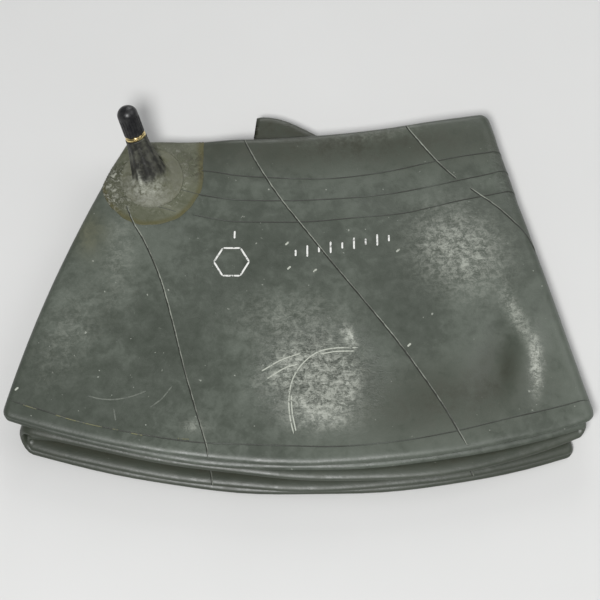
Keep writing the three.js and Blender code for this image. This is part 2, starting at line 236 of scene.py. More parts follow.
class Graph:
    """A material's nodes, built one call at a time."""

    def __init__(self, name: str) -> None:
        """Starts a material with a Principled shader and Object coordinates."""
        self.material = bpy.data.materials.new(name)
        self.material.use_nodes = True
        self.tree = self.material.node_tree
        self.shader = self.tree.nodes["Principled BSDF"]
        self.place = self.add("ShaderNodeTexCoord").outputs["Object"]

    def add(self, kind: str, inputs: dict[Any, Any] | None = None, **settings: Any) -> bpy.types.Node:
        """Adds a node.

        Args:
            kind: The node's type.
            inputs: For each input's name or number, a socket to link or a value to set.
            settings: The node's own properties.

        Returns:
            The node.
        """
        node = self.tree.nodes.new(kind)
        for key, value in settings.items():
            setattr(node, key, value)
        for key, value in (inputs or {}).items():
            self.feed(node.inputs[key], value)
        return node

    def feed(self, socket: bpy.types.NodeSocket, value: Any) -> None:
        """Links a socket to an input, or sets the input's value."""
        if isinstance(value, bpy.types.NodeSocket):
            self.tree.links.new(value, socket)
        elif isinstance(value, tuple) and len(value) == 3 and socket.type == "RGBA":
            socket.default_value = (*value, 1)
        else:
            socket.default_value = value

    def noise(self, scale: float, detail: float = 4, roughness: float = 0.55, distortion: float = 0,
              stretch: Triple = (1, 1, 1), turn: float = 0) -> bpy.types.NodeSocket:
        """Noise on Object coordinates.

        Args:
            scale: Features to the metre.
            detail: Octaves.
            roughness: How strong each octave is beside the last.
            distortion: How far the pattern is pulled about.
            stretch: How much finer the pattern is along X, Y and Z.
            turn: Degrees it is turned about Z.

        Returns:
            The noise, 0 to 1.
        """
        mapped = self.add("ShaderNodeMapping", {"Vector": self.place, "Scale": stretch,
                                                "Rotation": (0, 0, math.radians(turn))}).outputs[0]
        return self.add("ShaderNodeTexNoise", {"Vector": mapped, "Scale": scale, "Detail": detail,
                                               "Roughness": roughness, "Distortion": distortion}).outputs[0]

    def attribute(self, channel: Channel) -> bpy.types.NodeSocket:
        """A mark stored on the mesh."""
        return self.add("ShaderNodeAttribute", attribute_name=channel.value).outputs["Fac"]

    def span(self, value: Any, low: float, high: float, to_low: float = 0,
             to_high: float = 1) -> bpy.types.NodeSocket:
        """Maps one range to another, clamped.

        Args:
            value: The input.
            low: The input that gives to_low.
            high: The input that gives to_high.
            to_low: The result at low.
            to_high: The result at high.

        Returns:
            The result.
        """
        return self.add("ShaderNodeMapRange", {0: value, 1: low, 2: high, 3: to_low, 4: to_high}).outputs[0]

    def maths(self, operation: str, a: Any, b: Any) -> bpy.types.NodeSocket:
        """The result of one operation on two numbers."""
        return self.add("ShaderNodeMath", {0: a, 1: b}, operation=operation).outputs[0]

    def times(self, a: Any, b: Any) -> bpy.types.NodeSocket:
        """One number times another."""
        return self.maths("MULTIPLY", a, b)

    def blend(self, share: Any, a: Any, b: Any) -> bpy.types.NodeSocket:
        """Colour a, and colour b by the share given."""
        return self.add("ShaderNodeMix", {0: share, 6: a, 7: b}, data_type="RGBA").outputs[2]

    def relief(self, layers: Iterable[tuple[Any, float]], strength: float = 1.0) -> bpy.types.NodeSocket:
        """Bumps laid one over another.

        Args:
            layers: Pairs of a height from 0 to 1 and its depth in millimetres.
            strength: The strength of each.

        Returns:
            The normal.
        """
        normal = None
        for height, depth in layers:
            inputs = {"Height": height, "Distance": depth * MM, "Strength": strength}
            if normal is not None:
                inputs["Normal"] = normal
            normal = self.add("ShaderNodeBump", inputs).outputs[0]
        return normal

    def finish(self, colour: Any, roughness: Any, normal: Any = None,
               **constants: float) -> bpy.types.Material:
        """Feeds the shader.

        Args:
            colour: The base colour.
            roughness: The roughness.
            normal: The bumped normal, if any.
            constants: Other Principled inputs, with _ for a space.

        Returns:
            The material.
        """
        self.feed(self.shader.inputs["Base Color"], colour)
        self.feed(self.shader.inputs["Roughness"], roughness)
        if normal is not None:
            self.feed(self.shader.inputs["Normal"], normal)
        for key, value in constants.items():
            self.shader.inputs[key.replace("_", " ")].default_value = value
        return self.material


@dataclass(frozen=True)
class TubeRubber:
    """Grey-green butyl rubber under a film of talc, rubbed into fine streaks where the film is thick."""

    name: str = "tube_rubber"
    deep: Colour = (0.047, 0.056, 0.043)
    plain: Colour = (0.071, 0.083, 0.066)
    haze: Colour = (0.104, 0.12, 0.098)
    chalk: Colour = (0.46, 0.48, 0.42)
    # Near black: dirt, and painted shade on the lower layers and in the hollow beside the right bulge.
    soil_and_shade: Colour = (0.028, 0.03, 0.018)
    cement: Colour = (0.13, 0.12, 0.05)

    def build(self) -> bpy.types.Material:
        """Clouded rubber, with marks for talc, crinkles, dirt and cement; the dirt mark also paints shade and
        the talc mark also paints highlights.
        """
        g = Graph(self.name)
        clouds = g.noise(11, 4, 0.55, 0.4)
        mottle = g.noise(160, 6, 0.68, 0.3)
        grain = g.noise(1300, 3, 0.6)
        creases = g.noise(230, 6, 0.7, 1.6, (1.0, 2.0, 1.0), 28)
        tone = g.maths("ADD", g.times(clouds, 0.62), g.times(mottle, 0.38))
        colour = g.blend(g.span(tone, 0.38, 0.56), self.deep, self.plain)
        colour = g.blend(g.span(tone, 0.48, 0.66), colour, self.haze)
        hatch = g.noise(640, 5, 0.65, 0.9, (0.3, 1.5, 1.0), -22)
        vein = g.span(g.maths("ABSOLUTE", g.maths("SUBTRACT", creases, 0.5), 0), 0.04, 0.0)
        streak = g.maths("MAXIMUM", vein, g.span(hatch, 0.54, 0.66))
        talc = g.attribute(Channel.TALC_AND_HIGHLIGHT)
        curds = g.noise(330, 5, 0.75, 0.5)
        film = g.maths("ADD", g.times(streak, 0.6), g.span(curds, 0.44, 0.62, 0.08, 1.0))
        # Talc, and painted highlights where the talc mark is laid on the right bulge and the soft rise at
        # (72, 21).
        colour = g.blend(g.maths("MINIMUM", g.times(talc, film), 0.9), colour, self.chalk)
        specks = g.span(g.noise(430, 2, 0.5), 0.735, 0.78, 0, 0.5)
        colour = g.blend(specks, colour, self.chalk)
        # Darkening by the mark: dirt, and painted shade under the top layer and in the hollow by the bulge.
        grime = g.times(g.attribute(Channel.GRIME_AND_SHADE), g.span(mottle, 0.3, 0.6, 0.4, 1))
        colour = g.blend(grime, colour, self.soil_and_shade)
        stain = g.times(g.attribute(Channel.CEMENT), g.span(mottle, 0.35, 0.6, 0.3, 1))
        colour = g.blend(stain, colour, self.cement)
        crinkle = g.times(g.attribute(Channel.CRINKLE), creases)
        normal = g.relief([(clouds, 1.6), (crinkle, 2.4), (mottle, 0.16), (grain, 0.03)])
        rough = g.span(mottle, 0.3, 0.7, 0.34, 0.52)
        return g.finish(colour, rough, normal, Specular_IOR_Level=0.5)


@dataclass(frozen=True)
class RidgeRubber:
    """The rubber of a moulded ridge, with a painted shadow along one side and a painted highlight along the
    other.
    """

    name: str
    # Painted shadow on the ridge's shaded side; where the lit share is small, as on the lengthwise ridges,
    # this colour covers nearly the whole ridge.
    dark: Colour = (0.022, 0.024, 0.018)
    # Painted highlight on the ridge's lit side.
    light: Colour = (0.3, 0.32, 0.27)
    bare: Colour = (0.06, 0.068, 0.056)
    # How much of the painted highlight shows on the lit side.
    lit_share: float = 0.5
    fade: float = 0.4

    def build(self) -> bpy.types.Material:
        """Painted shadow and highlight split along the ridge, broken by noise."""
        g = Graph(self.name)
        broken = g.noise(260, 4, 0.6)
        along = g.noise(45, 3, 0.5)
        side = g.maths("ADD", g.attribute(Channel.SIDE), g.span(broken, 0.3, 0.7, -0.25, 0.25))
        lit = g.times(g.span(side, 0.42, 0.62), g.span(along, 0.35, 0.6, 0.25, 1))
        colour = g.blend(g.times(lit, self.lit_share), self.dark, self.light)
        faded = g.span(along, self.fade - 0.1, self.fade + 0.1)
        colour = g.blend(faded, self.bare, colour)
        normal = g.relief([(broken, 0.12)])
        return g.finish(colour, g.span(broken, 0.3, 0.7, 0.45, 0.65), normal)


@dataclass(frozen=True)
class CementedRubber:
    """Thin rubber stained by dried cement, olive with a brown rim and pale scabs of talc."""

    name: str = "cemented_rubber"
    olive: Colour = (0.066, 0.072, 0.04)
    tan: Colour = (0.118, 0.124, 0.083)
    brown: Colour = (0.078, 0.072, 0.024)
    soil_and_shade: Colour = (0.03, 0.028, 0.012)
    chalk: Colour = (0.42, 0.43, 0.36)

    def build(self) -> bpy.types.Material:
        """Olive to tan clouds, the rim's brown, and scabs where talc is marked."""
        g = Graph(self.name)
        clouds = g.noise(90, 6, 0.65, 0.5)
        specks = g.noise(480, 5, 0.7, 0.8)
        colour = g.blend(g.span(clouds, 0.38, 0.64), self.olive, self.tan)
        browned = g.times(g.attribute(Channel.CEMENT), g.span(clouds, 0.3, 0.6, 0.45, 1))
        colour = g.blend(browned, colour, self.brown)
        darkened = g.times(g.attribute(Channel.GRIME_AND_SHADE), g.span(specks, 0.42, 0.6))
        colour = g.blend(darkened, colour, self.soil_and_shade)
        scabs = g.times(g.attribute(Channel.TALC_AND_HIGHLIGHT), g.span(specks, 0.5, 0.66))
        colour = g.blend(scabs, colour, self.chalk)
        crinkle = g.times(g.attribute(Channel.CRINKLE), specks)
        normal = g.relief([(clouds, 0.5), (crinkle, 1.6), (specks, 0.15)])
        return g.finish(colour, g.span(specks, 0.3, 0.7, 0.38, 0.62), normal)


@dataclass(frozen=True)
class SleeveRubber:
    """Dark moulded rubber, streaked lengthwise, fading to stained olive at its foot."""

    name: str = "sleeve_rubber"
    black: Colour = (0.014, 0.014, 0.011)
    worn: Colour = (0.075, 0.076, 0.058)
    olive: Colour = (0.098, 0.101, 0.062)
    chalk: Colour = (0.4, 0.41, 0.35)

    def build(self) -> bpy.types.Material:
        """Streaks above, lighter where SIDE is high, and cement and talc below."""
        g = Graph(self.name)
        streaks = g.noise(190, 4, 0.6, 0.4, (2.2, 2.2, 0.32))
        specks = g.noise(500, 5, 0.7, 0.6)
        clouds = g.noise(90, 4, 0.6)
        stripes = g.maths("ADD", streaks, g.times(g.attribute(Channel.SIDE), 0.18))
        colour = g.blend(g.span(stripes, 0.52, 0.8), self.black, self.worn)
        stained = g.blend(g.span(clouds, 0.4, 0.62, 0, 0.5), self.olive, self.worn)
        colour = g.blend(g.attribute(Channel.CEMENT), colour, stained)
        scabs = g.times(g.attribute(Channel.TALC_AND_HIGHLIGHT), g.span(specks, 0.36, 0.66))
        colour = g.blend(scabs, colour, self.chalk)
        normal = g.relief([(streaks, 0.35), (specks, 0.16)])
        return g.finish(colour, g.span(specks, 0.3, 0.7, 0.4, 0.6), normal)


@dataclass(frozen=True)
class Brass:
    """Turned brass, bright where it is rubbed and brown where it isn't."""

    name: str = "turned_brass"
    bright: Colour = (0.9, 0.72, 0.34)
    tarnish: Colour = (0.32, 0.2, 0.07)
    # Near black: paints the shade on the stem's thread in the gap under the cap.
    soil_and_shade: Colour = (0.02, 0.018, 0.014)

    def build(self) -> bpy.types.Material:
        """Tool lines, patches of tarnish, and a near-black painted shade where the stem is marked in the gap
        under its cap.
        """
        g = Graph(self.name)
        patches = g.noise(300, 5, 0.6)
        lines = g.noise(2600, 2, 0.5)
        colour = g.blend(g.span(patches, 0.5, 0.72), self.bright, self.tarnish)
        colour = g.blend(g.attribute(Channel.GRIME_AND_SHADE), colour, self.soil_and_shade)
        normal = g.relief([(lines, 0.02)])
        return g.finish(colour, g.span(patches, 0.3, 0.7, 0.2, 0.42), normal, Metallic=1.0)


@dataclass(frozen=True)
class CapPlastic:
    """Black moulded plastic, dusty in its flutes."""

    name: str = "cap_plastic"
    black: Colour = (0.006, 0.006, 0.007)
    dusty: Colour = (0.026, 0.026, 0.026)

    def build(self) -> bpy.types.Material:
        """Black, with dust and a fine moulded grain."""
        g = Graph(self.name)
        dust = g.noise(240, 5, 0.65)
        grain = g.noise(2200, 2, 0.5)
        colour = g.blend(g.span(dust, 0.45, 0.7), self.black, self.dusty)
        normal = g.relief([(dust, 0.08), (grain, 0.015)])
        return g.finish(colour, g.span(dust, 0.35, 0.7, 0.3, 0.5), normal)


@dataclass(frozen=True)
class SealRubber:
    """Soft seal rubber in one colour, bloomed here and there."""

    name: str
    base: Colour
    bloom: Colour

    def build(self) -> bpy.types.Material:
        """The base colour with bloom and a fine grain."""
        g = Graph(self.name)
        patches = g.noise(500, 4, 0.6)
        grain = g.noise(3000, 2, 0.5)
        colour = g.blend(g.span(patches, 0.45, 0.7, 0, 0.6), self.base, self.bloom)
        normal = g.relief([(patches, 0.05), (grain, 0.02)])
        return g.finish(colour, g.span(patches, 0.3, 0.7, 0.45, 0.62), normal)


@dataclass(frozen=True)
class SpringWire:
    """Drawn steel wire."""

    name: str = "spring_wire"
    bright: Colour = (0.62, 0.62, 0.64)
    dull: Colour = (0.3, 0.29, 0.28)

    def build(self) -> bpy.types.Material:
        """Bright steel with dull patches."""
        g = Graph(self.name)
        patches = g.noise(900, 4, 0.6)
        colour = g.blend(g.span(patches, 0.45, 0.7), self.bright, self.dull)
        normal = g.relief([(patches, 0.01)])
        return g.finish(colour, g.span(patches, 0.3, 0.7, 0.18, 0.36), normal, Metallic=1.0)


@dataclass(frozen=True)
class Chalk:
    """A thin pale film, such as stamping ink, talc, bloom or flash, worn through in places."""

    name: str
    white: Colour
    bare: Colour = (0.075, 0.085, 0.07)
    worn: float = 0.5

    def build(self) -> bpy.types.Material:
        """The pale colour, with the rubber showing through as the noise falls."""
        g = Graph(self.name)
        breaks = g.noise(520, 5, 0.7)
        colour = g.blend(g.span(breaks, self.worn - 0.07, self.worn + 0.05), self.bare, self.white)
        normal = g.relief([(breaks, 0.06)])
        return g.finish(colour, g.span(breaks, 0.3, 0.7, 0.55, 0.8), normal)


# ------------------------------------------------------------------------------ the folded tube


@dataclass(frozen=True)
class Sheet:
    """One flattened layer: the ends of its two fold lines, and how its edges curve between them."""

    left_rim: Pair
    left_outer: Pair
    right_rim: Pair
    right_outer: Pair
    outer_bow: float
    rim_bow: float
    outer_skew: float = 0.0
    left_bow: float = 0.0
    pucker: bool = False


@dataclass(frozen=True)
class Swell:
    """A soft hill or hollow in the top wall: height * exp(-r^2), with r in its own turned ellipse."""

    x: float
    y: float
    along: float
    across: float
    height: float
    turn: float = 0.0

    def at(self, x: Array, y: Array) -> Array:
        """The hill's height at points.

        Args:
            x: Their x.
            y: Their y.

        Returns:
            Its heights.
        """
        a = math.radians(self.turn)
        dx, dy = x - self.x, y - self.y
        p = (dx * math.cos(a) + dy * math.sin(a)) / self.along
        q = (-dx * math.sin(a) + dy * math.cos(a)) / self.across
        return self.height * np.exp(-p * p - q * q)


def total(hills: Iterable[Swell], x: Array, y: Array) -> Array:
    """The sum of several hills at points."""
    return sum((hill.at(x, y) for hill in hills), np.zeros(np.broadcast(x, y).shape))


@dataclass
class FoldedTube:
    """The ring: six layers, the folds that join them, and the shape of its skin."""

    wall: float = 1.5
    air: float = 0.3
    spacing: float = 0.4
    lip: float = 3.6
    bend_u: float = 0.1
    edge_tuck: float = 1.5
    sheets: tuple[Sheet, ...] = (
        Sheet((-76.8, 77.4), (-128.6, -59.6), (82.6, 91.6), (125.3, -61.8), 20.6, -3.8, 0.0, 4.6),
        Sheet((-76.8, 77.4), (-128.6, -59.6), (81.8, 90.2), (124.5, -63.4), 21.2, -3.6, 0.0, 4.6),
        Sheet((-71, 70), (-119.4, -65.0), (81.0, 88.5), (123.4, -66.2), 20.4, 0, 0.3, 2.0, True),
        Sheet((-70.7, 69), (-119.2, -65.4), (80.0, 87.0), (122.2, -58.0), 8.0, 0, 0.0, 2.0),
        Sheet((-70.4, 67.6), (-119.2, -69.4), (79, 69.5), (119.2, -71.2), 18.0, 0, 0.06, 1.6),
        Sheet((-70, 66), (-119.2, -70.0), (79, 69.5), (119.2, -71.6), 18.2, 0, 0.06, 1.6),
    )
    route: tuple[int, ...] = (0, 3, 4, 5, 2, 1)
    pucker_x: float = -20.2
    pucker_rise: float = 1.4
    pucker_fall: float = 42
    pucker_height: float = 18.8
    swells: tuple[Swell, ...] = (
        Swell(40, -12, 52, 42, 2.4),
        Swell(99.5, -28, 22, 7, 3.6, 80),
        Swell(88, -34, 17, 9, -3.2, 75),
        Swell(72, 22, 20, 24, 1.6),
        Swell(20, 62, 50, 14, -0.7),
        Swell(58, 88, 26, 12, 1.8),
        Swell(14, -48, 30, 24, 1.0),
        Swell(-62, -10, 40, 40, 0.9),
        Swell(-30, 76, 13, 10, 2.4),
        Swell(-53, 76, 10, 10, -1.2),
        Swell(80, 84, 22, 12, 1.4),
        Swell(94, 60, 6, 14, 0.9, 15),
        Swell(98, 46, 5, 6, -0.8),
        Swell(-61, 68, 11, 8, 3.6, -30),
        Swell(-84, 60, 6, 16, 1.2, 20),
    )
    stations: dict[str, Array] = field(default_factory=dict)

    @property
    def half(self) -> float:
        """Half a layer's thickness."""
        return self.wall + self.air / 2

    @property
    def pitch(self) -> float:
        """From one layer's middle surface to the next."""
        return 2 * self.half + self.spacing

    def height(self, layer: int) -> float:
        """The height of a layer's middle surface."""
        return self.half + (len(self.sheets) - 1 - layer) * self.pitch

    @property
    def top(self) -> float:
        """The height of the top layer's upper wall where it is flat."""
        return self.height(0) + self.half

    def line_ends(self, layer: int, share: Array) -> tuple[Array, Array, Array]:
        """The lines across one layer.

        Each end runs straight from the left fold to the right one, plus a parabola 4s(1 - s) for its
        curve; the line itself bows towards the left fold by a part that dies away to the right.

        Args:
            layer: Which layer, from the top.
            share: How far along it, 0 at the left fold and 1 at the right.

        Returns:
            The rim-side ends, the outer ends, and each line's sideways bow.
        """
        sheet = self.sheets[layer]
        s = np.asarray(share, float)[..., None]
        bow = 4 * s * (1 - s)
        rim = np.array(sheet.left_rim) * (1 - s) + np.array(sheet.right_rim) * s
        outer = np.array(sheet.left_outer) * (1 - s) + np.array(sheet.right_outer) * s
        rim_y = rim[..., 1:] + sheet.rim_bow * bow
        if sheet.pucker:
            side = np.where(rim[..., :1] < self.pucker_x, self.pucker_rise, self.pucker_fall)
            reach = np.minimum(1, np.abs(rim[..., :1] - self.pucker_x) / side)
            rim_y = rim_y + self.pucker_height * (1 - reach**2) ** 2
        wave = 0.35 * np.sin(9 * s + 1.7 * layer) + 0.25 * np.sin(23 * s + 2.9 * layer)
        outer_y = outer[..., 1:] - sheet.outer_bow * bow * (1 + sheet.outer_skew * (2 * s - 1)) + wave * bow
        z = np.full_like(rim_y, self.height(layer))
        sideways = np.concatenate([-sheet.left_bow * (1 - np.clip(s, 0, 1)) ** 2, 0 * s, 0 * s], axis=-1)
        rim_ends = np.concatenate([rim[..., :1], rim_y, z], -1)
        outer_ends = np.concatenate([outer[..., :1], outer_y, z], -1)
        return rim_ends, outer_ends, sideways

    def layer_run(self, layer: int, share: Array, up: float, u: Array, is_top: float) -> dict[str, Array]:
        """The stations along one layer.

        Args:
            layer: Which layer.
            share: How far along it each station is.
            up: 1 where the ring's first wall faces up, -1 where it faces down.
            u: Each station's place round the ring.
            is_top: 1 on the top layer.

        Returns:
            Arrays of the stations' ends, facing, bow and place.
        """
        rim, outer, bow = self.line_ends(layer, share)
        facing = np.zeros_like(rim)
        facing[:, 2] = up
        return {"rim": rim, "outer": outer, "bow": bow, "facing": facing, "u": u[:, None],
                "top": np.full((len(u), 1), is_top)}

    def bend_run(self, first: int, second: int, is_right: bool, angle: Array, u: Array, start_top: float,
                 end_top: float) -> dict[str, Array]:
        """The stations round a fold from one layer to another.

        A line goes from the first layer's to the second's by (1 - cos a) / 2 while it bulges out by
        half their distance times sin a.

        Args:
            first: The layer it leaves.
            second: The layer it joins.
            is_right: Whether the fold is at the right of the stack.
            angle: How far round each station is, in radians.
            u: Each station's place round the ring.
            start_top: 1 where the fold leaves the top layer.
            end_top: 1 where it reaches the top layer.

        Returns:
            Arrays as for a layer.
        """
        share = np.array(1.0 if is_right else 0.0)
        (rim_a, out_a, bow_a), (rim_b, out_b, bow_b) = (self.line_ends(k, share) for k in (first, second))
        along = unit((out_a - rim_a + out_b - rim_b) * [1, 1, 0])
        out = np.array([-along[1], along[0], 0]) if is_right else np.array([along[1], -along[0], 0])
        bulge = abs(rim_a[2] - rim_b[2]) / 2
        a = angle[:, None]
        way = (1 - np.cos(a)) / 2
        rim = rim_a + (rim_b - rim_a) * way + out * bulge * np.sin(a)
        outer = out_a + (out_b - out_a) * way + out * bulge * np.sin(a)
        outer = outer - along * self.edge_tuck * np.sin(a) ** 2 * min(1.0, bulge / self.pitch)
        tangent = (rim_b - rim_a) * np.sin(a) / 2 + out * bulge * np.cos(a)
        facing = unit(np.cross(outer - rim, tangent))
        top = start_top * np.maximum(0, np.cos(a)) ** 2 * (a < math.pi / 2)
        top = top + end_top * np.maximum(0, -np.cos(a)) ** 2 * (a > math.pi / 2)
        return {"rim": rim, "outer": outer, "bow": bow_a + (bow_b - bow_a) * way, "facing": facing,
                "u": u[:, None], "top": top}

    def lay_out(self, top_steps: int, other_steps: int, bend_steps: int) -> None:
        """Works out the stations all the way round the ring, starting in the left fold of the top layer.

        Args:
            top_steps: Steps along the top layer.
            other_steps: Steps along each of the others.
            bend_steps: Steps round each fold beside the top layer, and half that round the others.
        """
        runs = []
        u0 = 0.0
        for turn, layer in enumerate(self.route):
            goes_right = turn % 2 == 0
            steps = top_steps if layer == 0 else other_steps * (3 if self.sheets[layer].pucker else 1)
            t = np.linspace(0, 1, steps + 1)
            runs.append(self.layer_run(layer, t if goes_right else 1 - t, 1.0 if goes_right else -1.0, u0 + t,
                                       float(layer == 0)))
            following = self.route[(turn + 1) % len(self.route)]
            beside_top = 0 in (layer, following)
            count = bend_steps if beside_top else bend_steps // 2
            b = np.linspace(0, 1, count + 1)[1:-1]
            runs.append(self.bend_run(layer, following, goes_right, math.pi * b, u0 + 1 + self.bend_u * b,
                                      float(layer == 0), float(following == 0)))
            u0 += 1 + self.bend_u
        self.stations = {key: np.concatenate([run[key] for run in runs]) for key in runs[0]}
        self.stations["length"] = np.array(u0)

    def lift(self, x: Array, y: Array) -> Array:
        """How far the top wall stands above flat, from the air and the set left in the rubber.

        The sum of the swells and of a few long and short sine waves.

        Args:
            x: Points' x.
            y: Their y.

        Returns:
            The heights.
        """
        waves = (0.28 * np.sin(x / 13.0 + 0.7 * np.sin(y / 17.0)) * np.sin(y / 19.0 + 1.1)
                 + 0.10 * np.sin(x / 5.1 + y / 7.3) * np.sin(y / 6.1 - x / 11.0 + 0.6)
                 + 0.16 * np.sin((x + 0.6 * y) / 9.0 + 1.9))
        return total(self.swells, x, y) + waves

    def skin(self, u: Array, d: Array, rise: Array | float = 0.0, wall: float = 1.0) -> Array:
        """Places on the skin.

        Across the tube a wall is flat at half a thickness from the middle surface, and within a lip's
        reach of an edge it follows a quarter ellipse down to it: lip * (1 - sin a) across and
        half * cos a up. Beyond the edge the angle goes on, to the other wall.

        Args:
            u: Places along the ring.
            d: Distances across it from the rim-side edge, along the wall.
            rise: How far out of the skin.
            wall: 1 for the ring's first wall and -1 for its second.

        Returns:
            The points.
        """
        u, d, rise = np.broadcast_arrays(np.asarray(u, float), np.asarray(d, float), np.asarray(rise, float))
        s = self.stations
        whole = float(s["length"])
        wrapped = np.mod(u, whole)

        def read(key: str) -> Array:
            """One station array at every u."""
            table = s[key]
            places = np.append(s["u"][:, 0], whole)
            closed = np.vstack([table, table[:1]])
            return np.stack([np.interp(wrapped, places, closed[:, k]) for k in range(table.shape[1])], -1)

        rim, outer, bow, facing, top = (read(key) for key in ("rim", "outer", "bow", "facing", "top"))
        width = np.linalg.norm(outer - rim, axis=-1)
        across = (outer - rim) / width[..., None]
        inward = np.clip((self.lip - d) / self.lip, 0, 1.9) * math.pi / 2
        beyond = np.clip((d - width + self.lip) / self.lip, 0, 1.9) * math.pi / 2
        q = np.where(d < self.lip, self.lip * (1 - np.sin(inward)), d)
        q = np.where(d > width - self.lip, width - self.lip + self.lip * np.sin(beyond), q)
        up = np.cos(inward + beyond)
        out = np.sin(beyond) - np.sin(inward)
        f = np.clip(q / width, 0, 1)
        middle = rim + across * q[..., None] + bow * (4 * f * (1 - f))[..., None]
        lifted = self.lift(middle[..., 0], middle[..., 1]) * top[..., 0] * (wall > 0)
        lifted = lifted * np.sqrt(np.maximum(up, 0))
        normal = unit(facing)
        return (middle + normal * ((self.half * up * wall + lifted)[..., None])
                + rise[..., None] * (normal * (up * wall)[..., None] + across * out[..., None]))

    def coordinates(self, x: Array, y: Array) -> tuple[Array, Array]:
        """The u and d of points in plan on the top layer, unrolled past its edges.

        Newton's method on the layer's own formula gives the share s along it and f across it. Past the
        left fold, the distance goes round the bend.

        Args:
            x: Points' x.
            y: Their y.

        Returns:
            Their u and d.
        """
        x, y = np.broadcast_arrays(np.asarray(x, float), np.asarray(y, float))
        s, f = np.full(x.shape, 0.5), np.full(x.shape, 0.5)

        def plan(a: Array, b: Array) -> Array:
            """The point in plan at shares a and b."""
            rim, outer, bow = self.line_ends(0, a)
            edge = np.clip(b, 0, 1)
            return (rim + (outer - rim) * b[..., None] + bow * (4 * edge * (1 - edge))[..., None])[..., :2]

        step = 1e-4
        for _ in range(12):
            here = plan(s, f)
            ds, df = (plan(s + step, f) - here) / step, (plan(s, f + step) - here) / step
            rx, ry = x - here[..., 0], y - here[..., 1]
            det = ds[..., 0] * df[..., 1] - ds[..., 1] * df[..., 0]
            s = s + (rx * df[..., 1] - ry * df[..., 0]) / det
            f = f + (ds[..., 0] * ry - ds[..., 1] * rx) / det
        rim, outer, _ = self.line_ends(0, s)
        left, right = plan(np.zeros_like(s), f), plan(np.ones_like(s), f)
        span = np.linalg.norm(right - left, axis=-1)
        round_left = math.pi * ((self.height(0) - self.height(1)) / 2 + self.half)
        past = np.maximum(0, -s) * span / round_left
        u = np.where(s < 0, -self.bend_u * np.minimum(past, 0.95), s)
        return u, f * np.linalg.norm(outer - rim, axis=-1)

    def on_top(self, x: Array, y: Array, rise: Array | float = 0.0) -> Array:
        """Points on the top wall above a place in plan.

        Args:
            x: Places' x.
            y: Their y.
            rise: How far out of the skin.

        Returns:
            The points.
        """
        u, d = self.coordinates(x, y)
        return self.skin(u, d, rise)

    def section(self, fine: int, coarse: int, lip_steps: int) -> tuple[Array, Array]:
        """The places round a section, as shares of the width, or of the lip, and which wall each is on.

        Args:
            fine: Steps across the first wall.
            coarse: Steps across the second.
            lip_steps: Steps round each quarter lip.

        Returns:
            Distances d for a width of 1 with lips of 1 at each end, coded as lip parts in (0, 1),
            wall parts in (1, 2) and lip parts in (2, 3); and the walls.
        """
        lip_a = np.linspace(0, 1, lip_steps, endpoint=False)
        first = np.concatenate([lip_a, 1 + np.linspace(0, 1, fine, endpoint=False), 2 + lip_a, [3]])
        second = np.concatenate([3 - lip_a[1:], 2 - np.linspace(0, 1, coarse, endpoint=False), 1 - lip_a])
        return np.concatenate([first, second]), np.concatenate([np.ones(len(first)), -np.ones(len(second))])

    def build(self) -> tuple[bpy.types.Object, Array]:
        """The ring's whole skin, as rows of stations and columns round the section.

        Returns:
            The piece, and each vertex's distance in from the outer edge.
        """
        codes, walls = self.section(fine=118, coarse=26, lip_steps=7)
        s = self.stations
        width = np.linalg.norm(s["outer"] - s["rim"], axis=1)[:, None]
        part, inside = np.minimum(codes.astype(int), 2), codes - np.minimum(codes.astype(int), 2)
        lip = self.lip
        d = np.choose(part[None, :], [lip * inside, lip + (width - 2 * lip) * inside,
                                      width - lip + lip * inside])
        u = np.broadcast_to(s["u"], d.shape)
        first = self.skin(u, d, 0.0, 1.0)
        second = self.skin(u, d, 0.0, -1.0)
        points = np.where(walls[None, :, None] > 0, first, second)
        return make_mesh("folded_tube", points, loop_u=True), (width - d).ravel()


# ------------------------------------------------------------------------------ marks on the skin


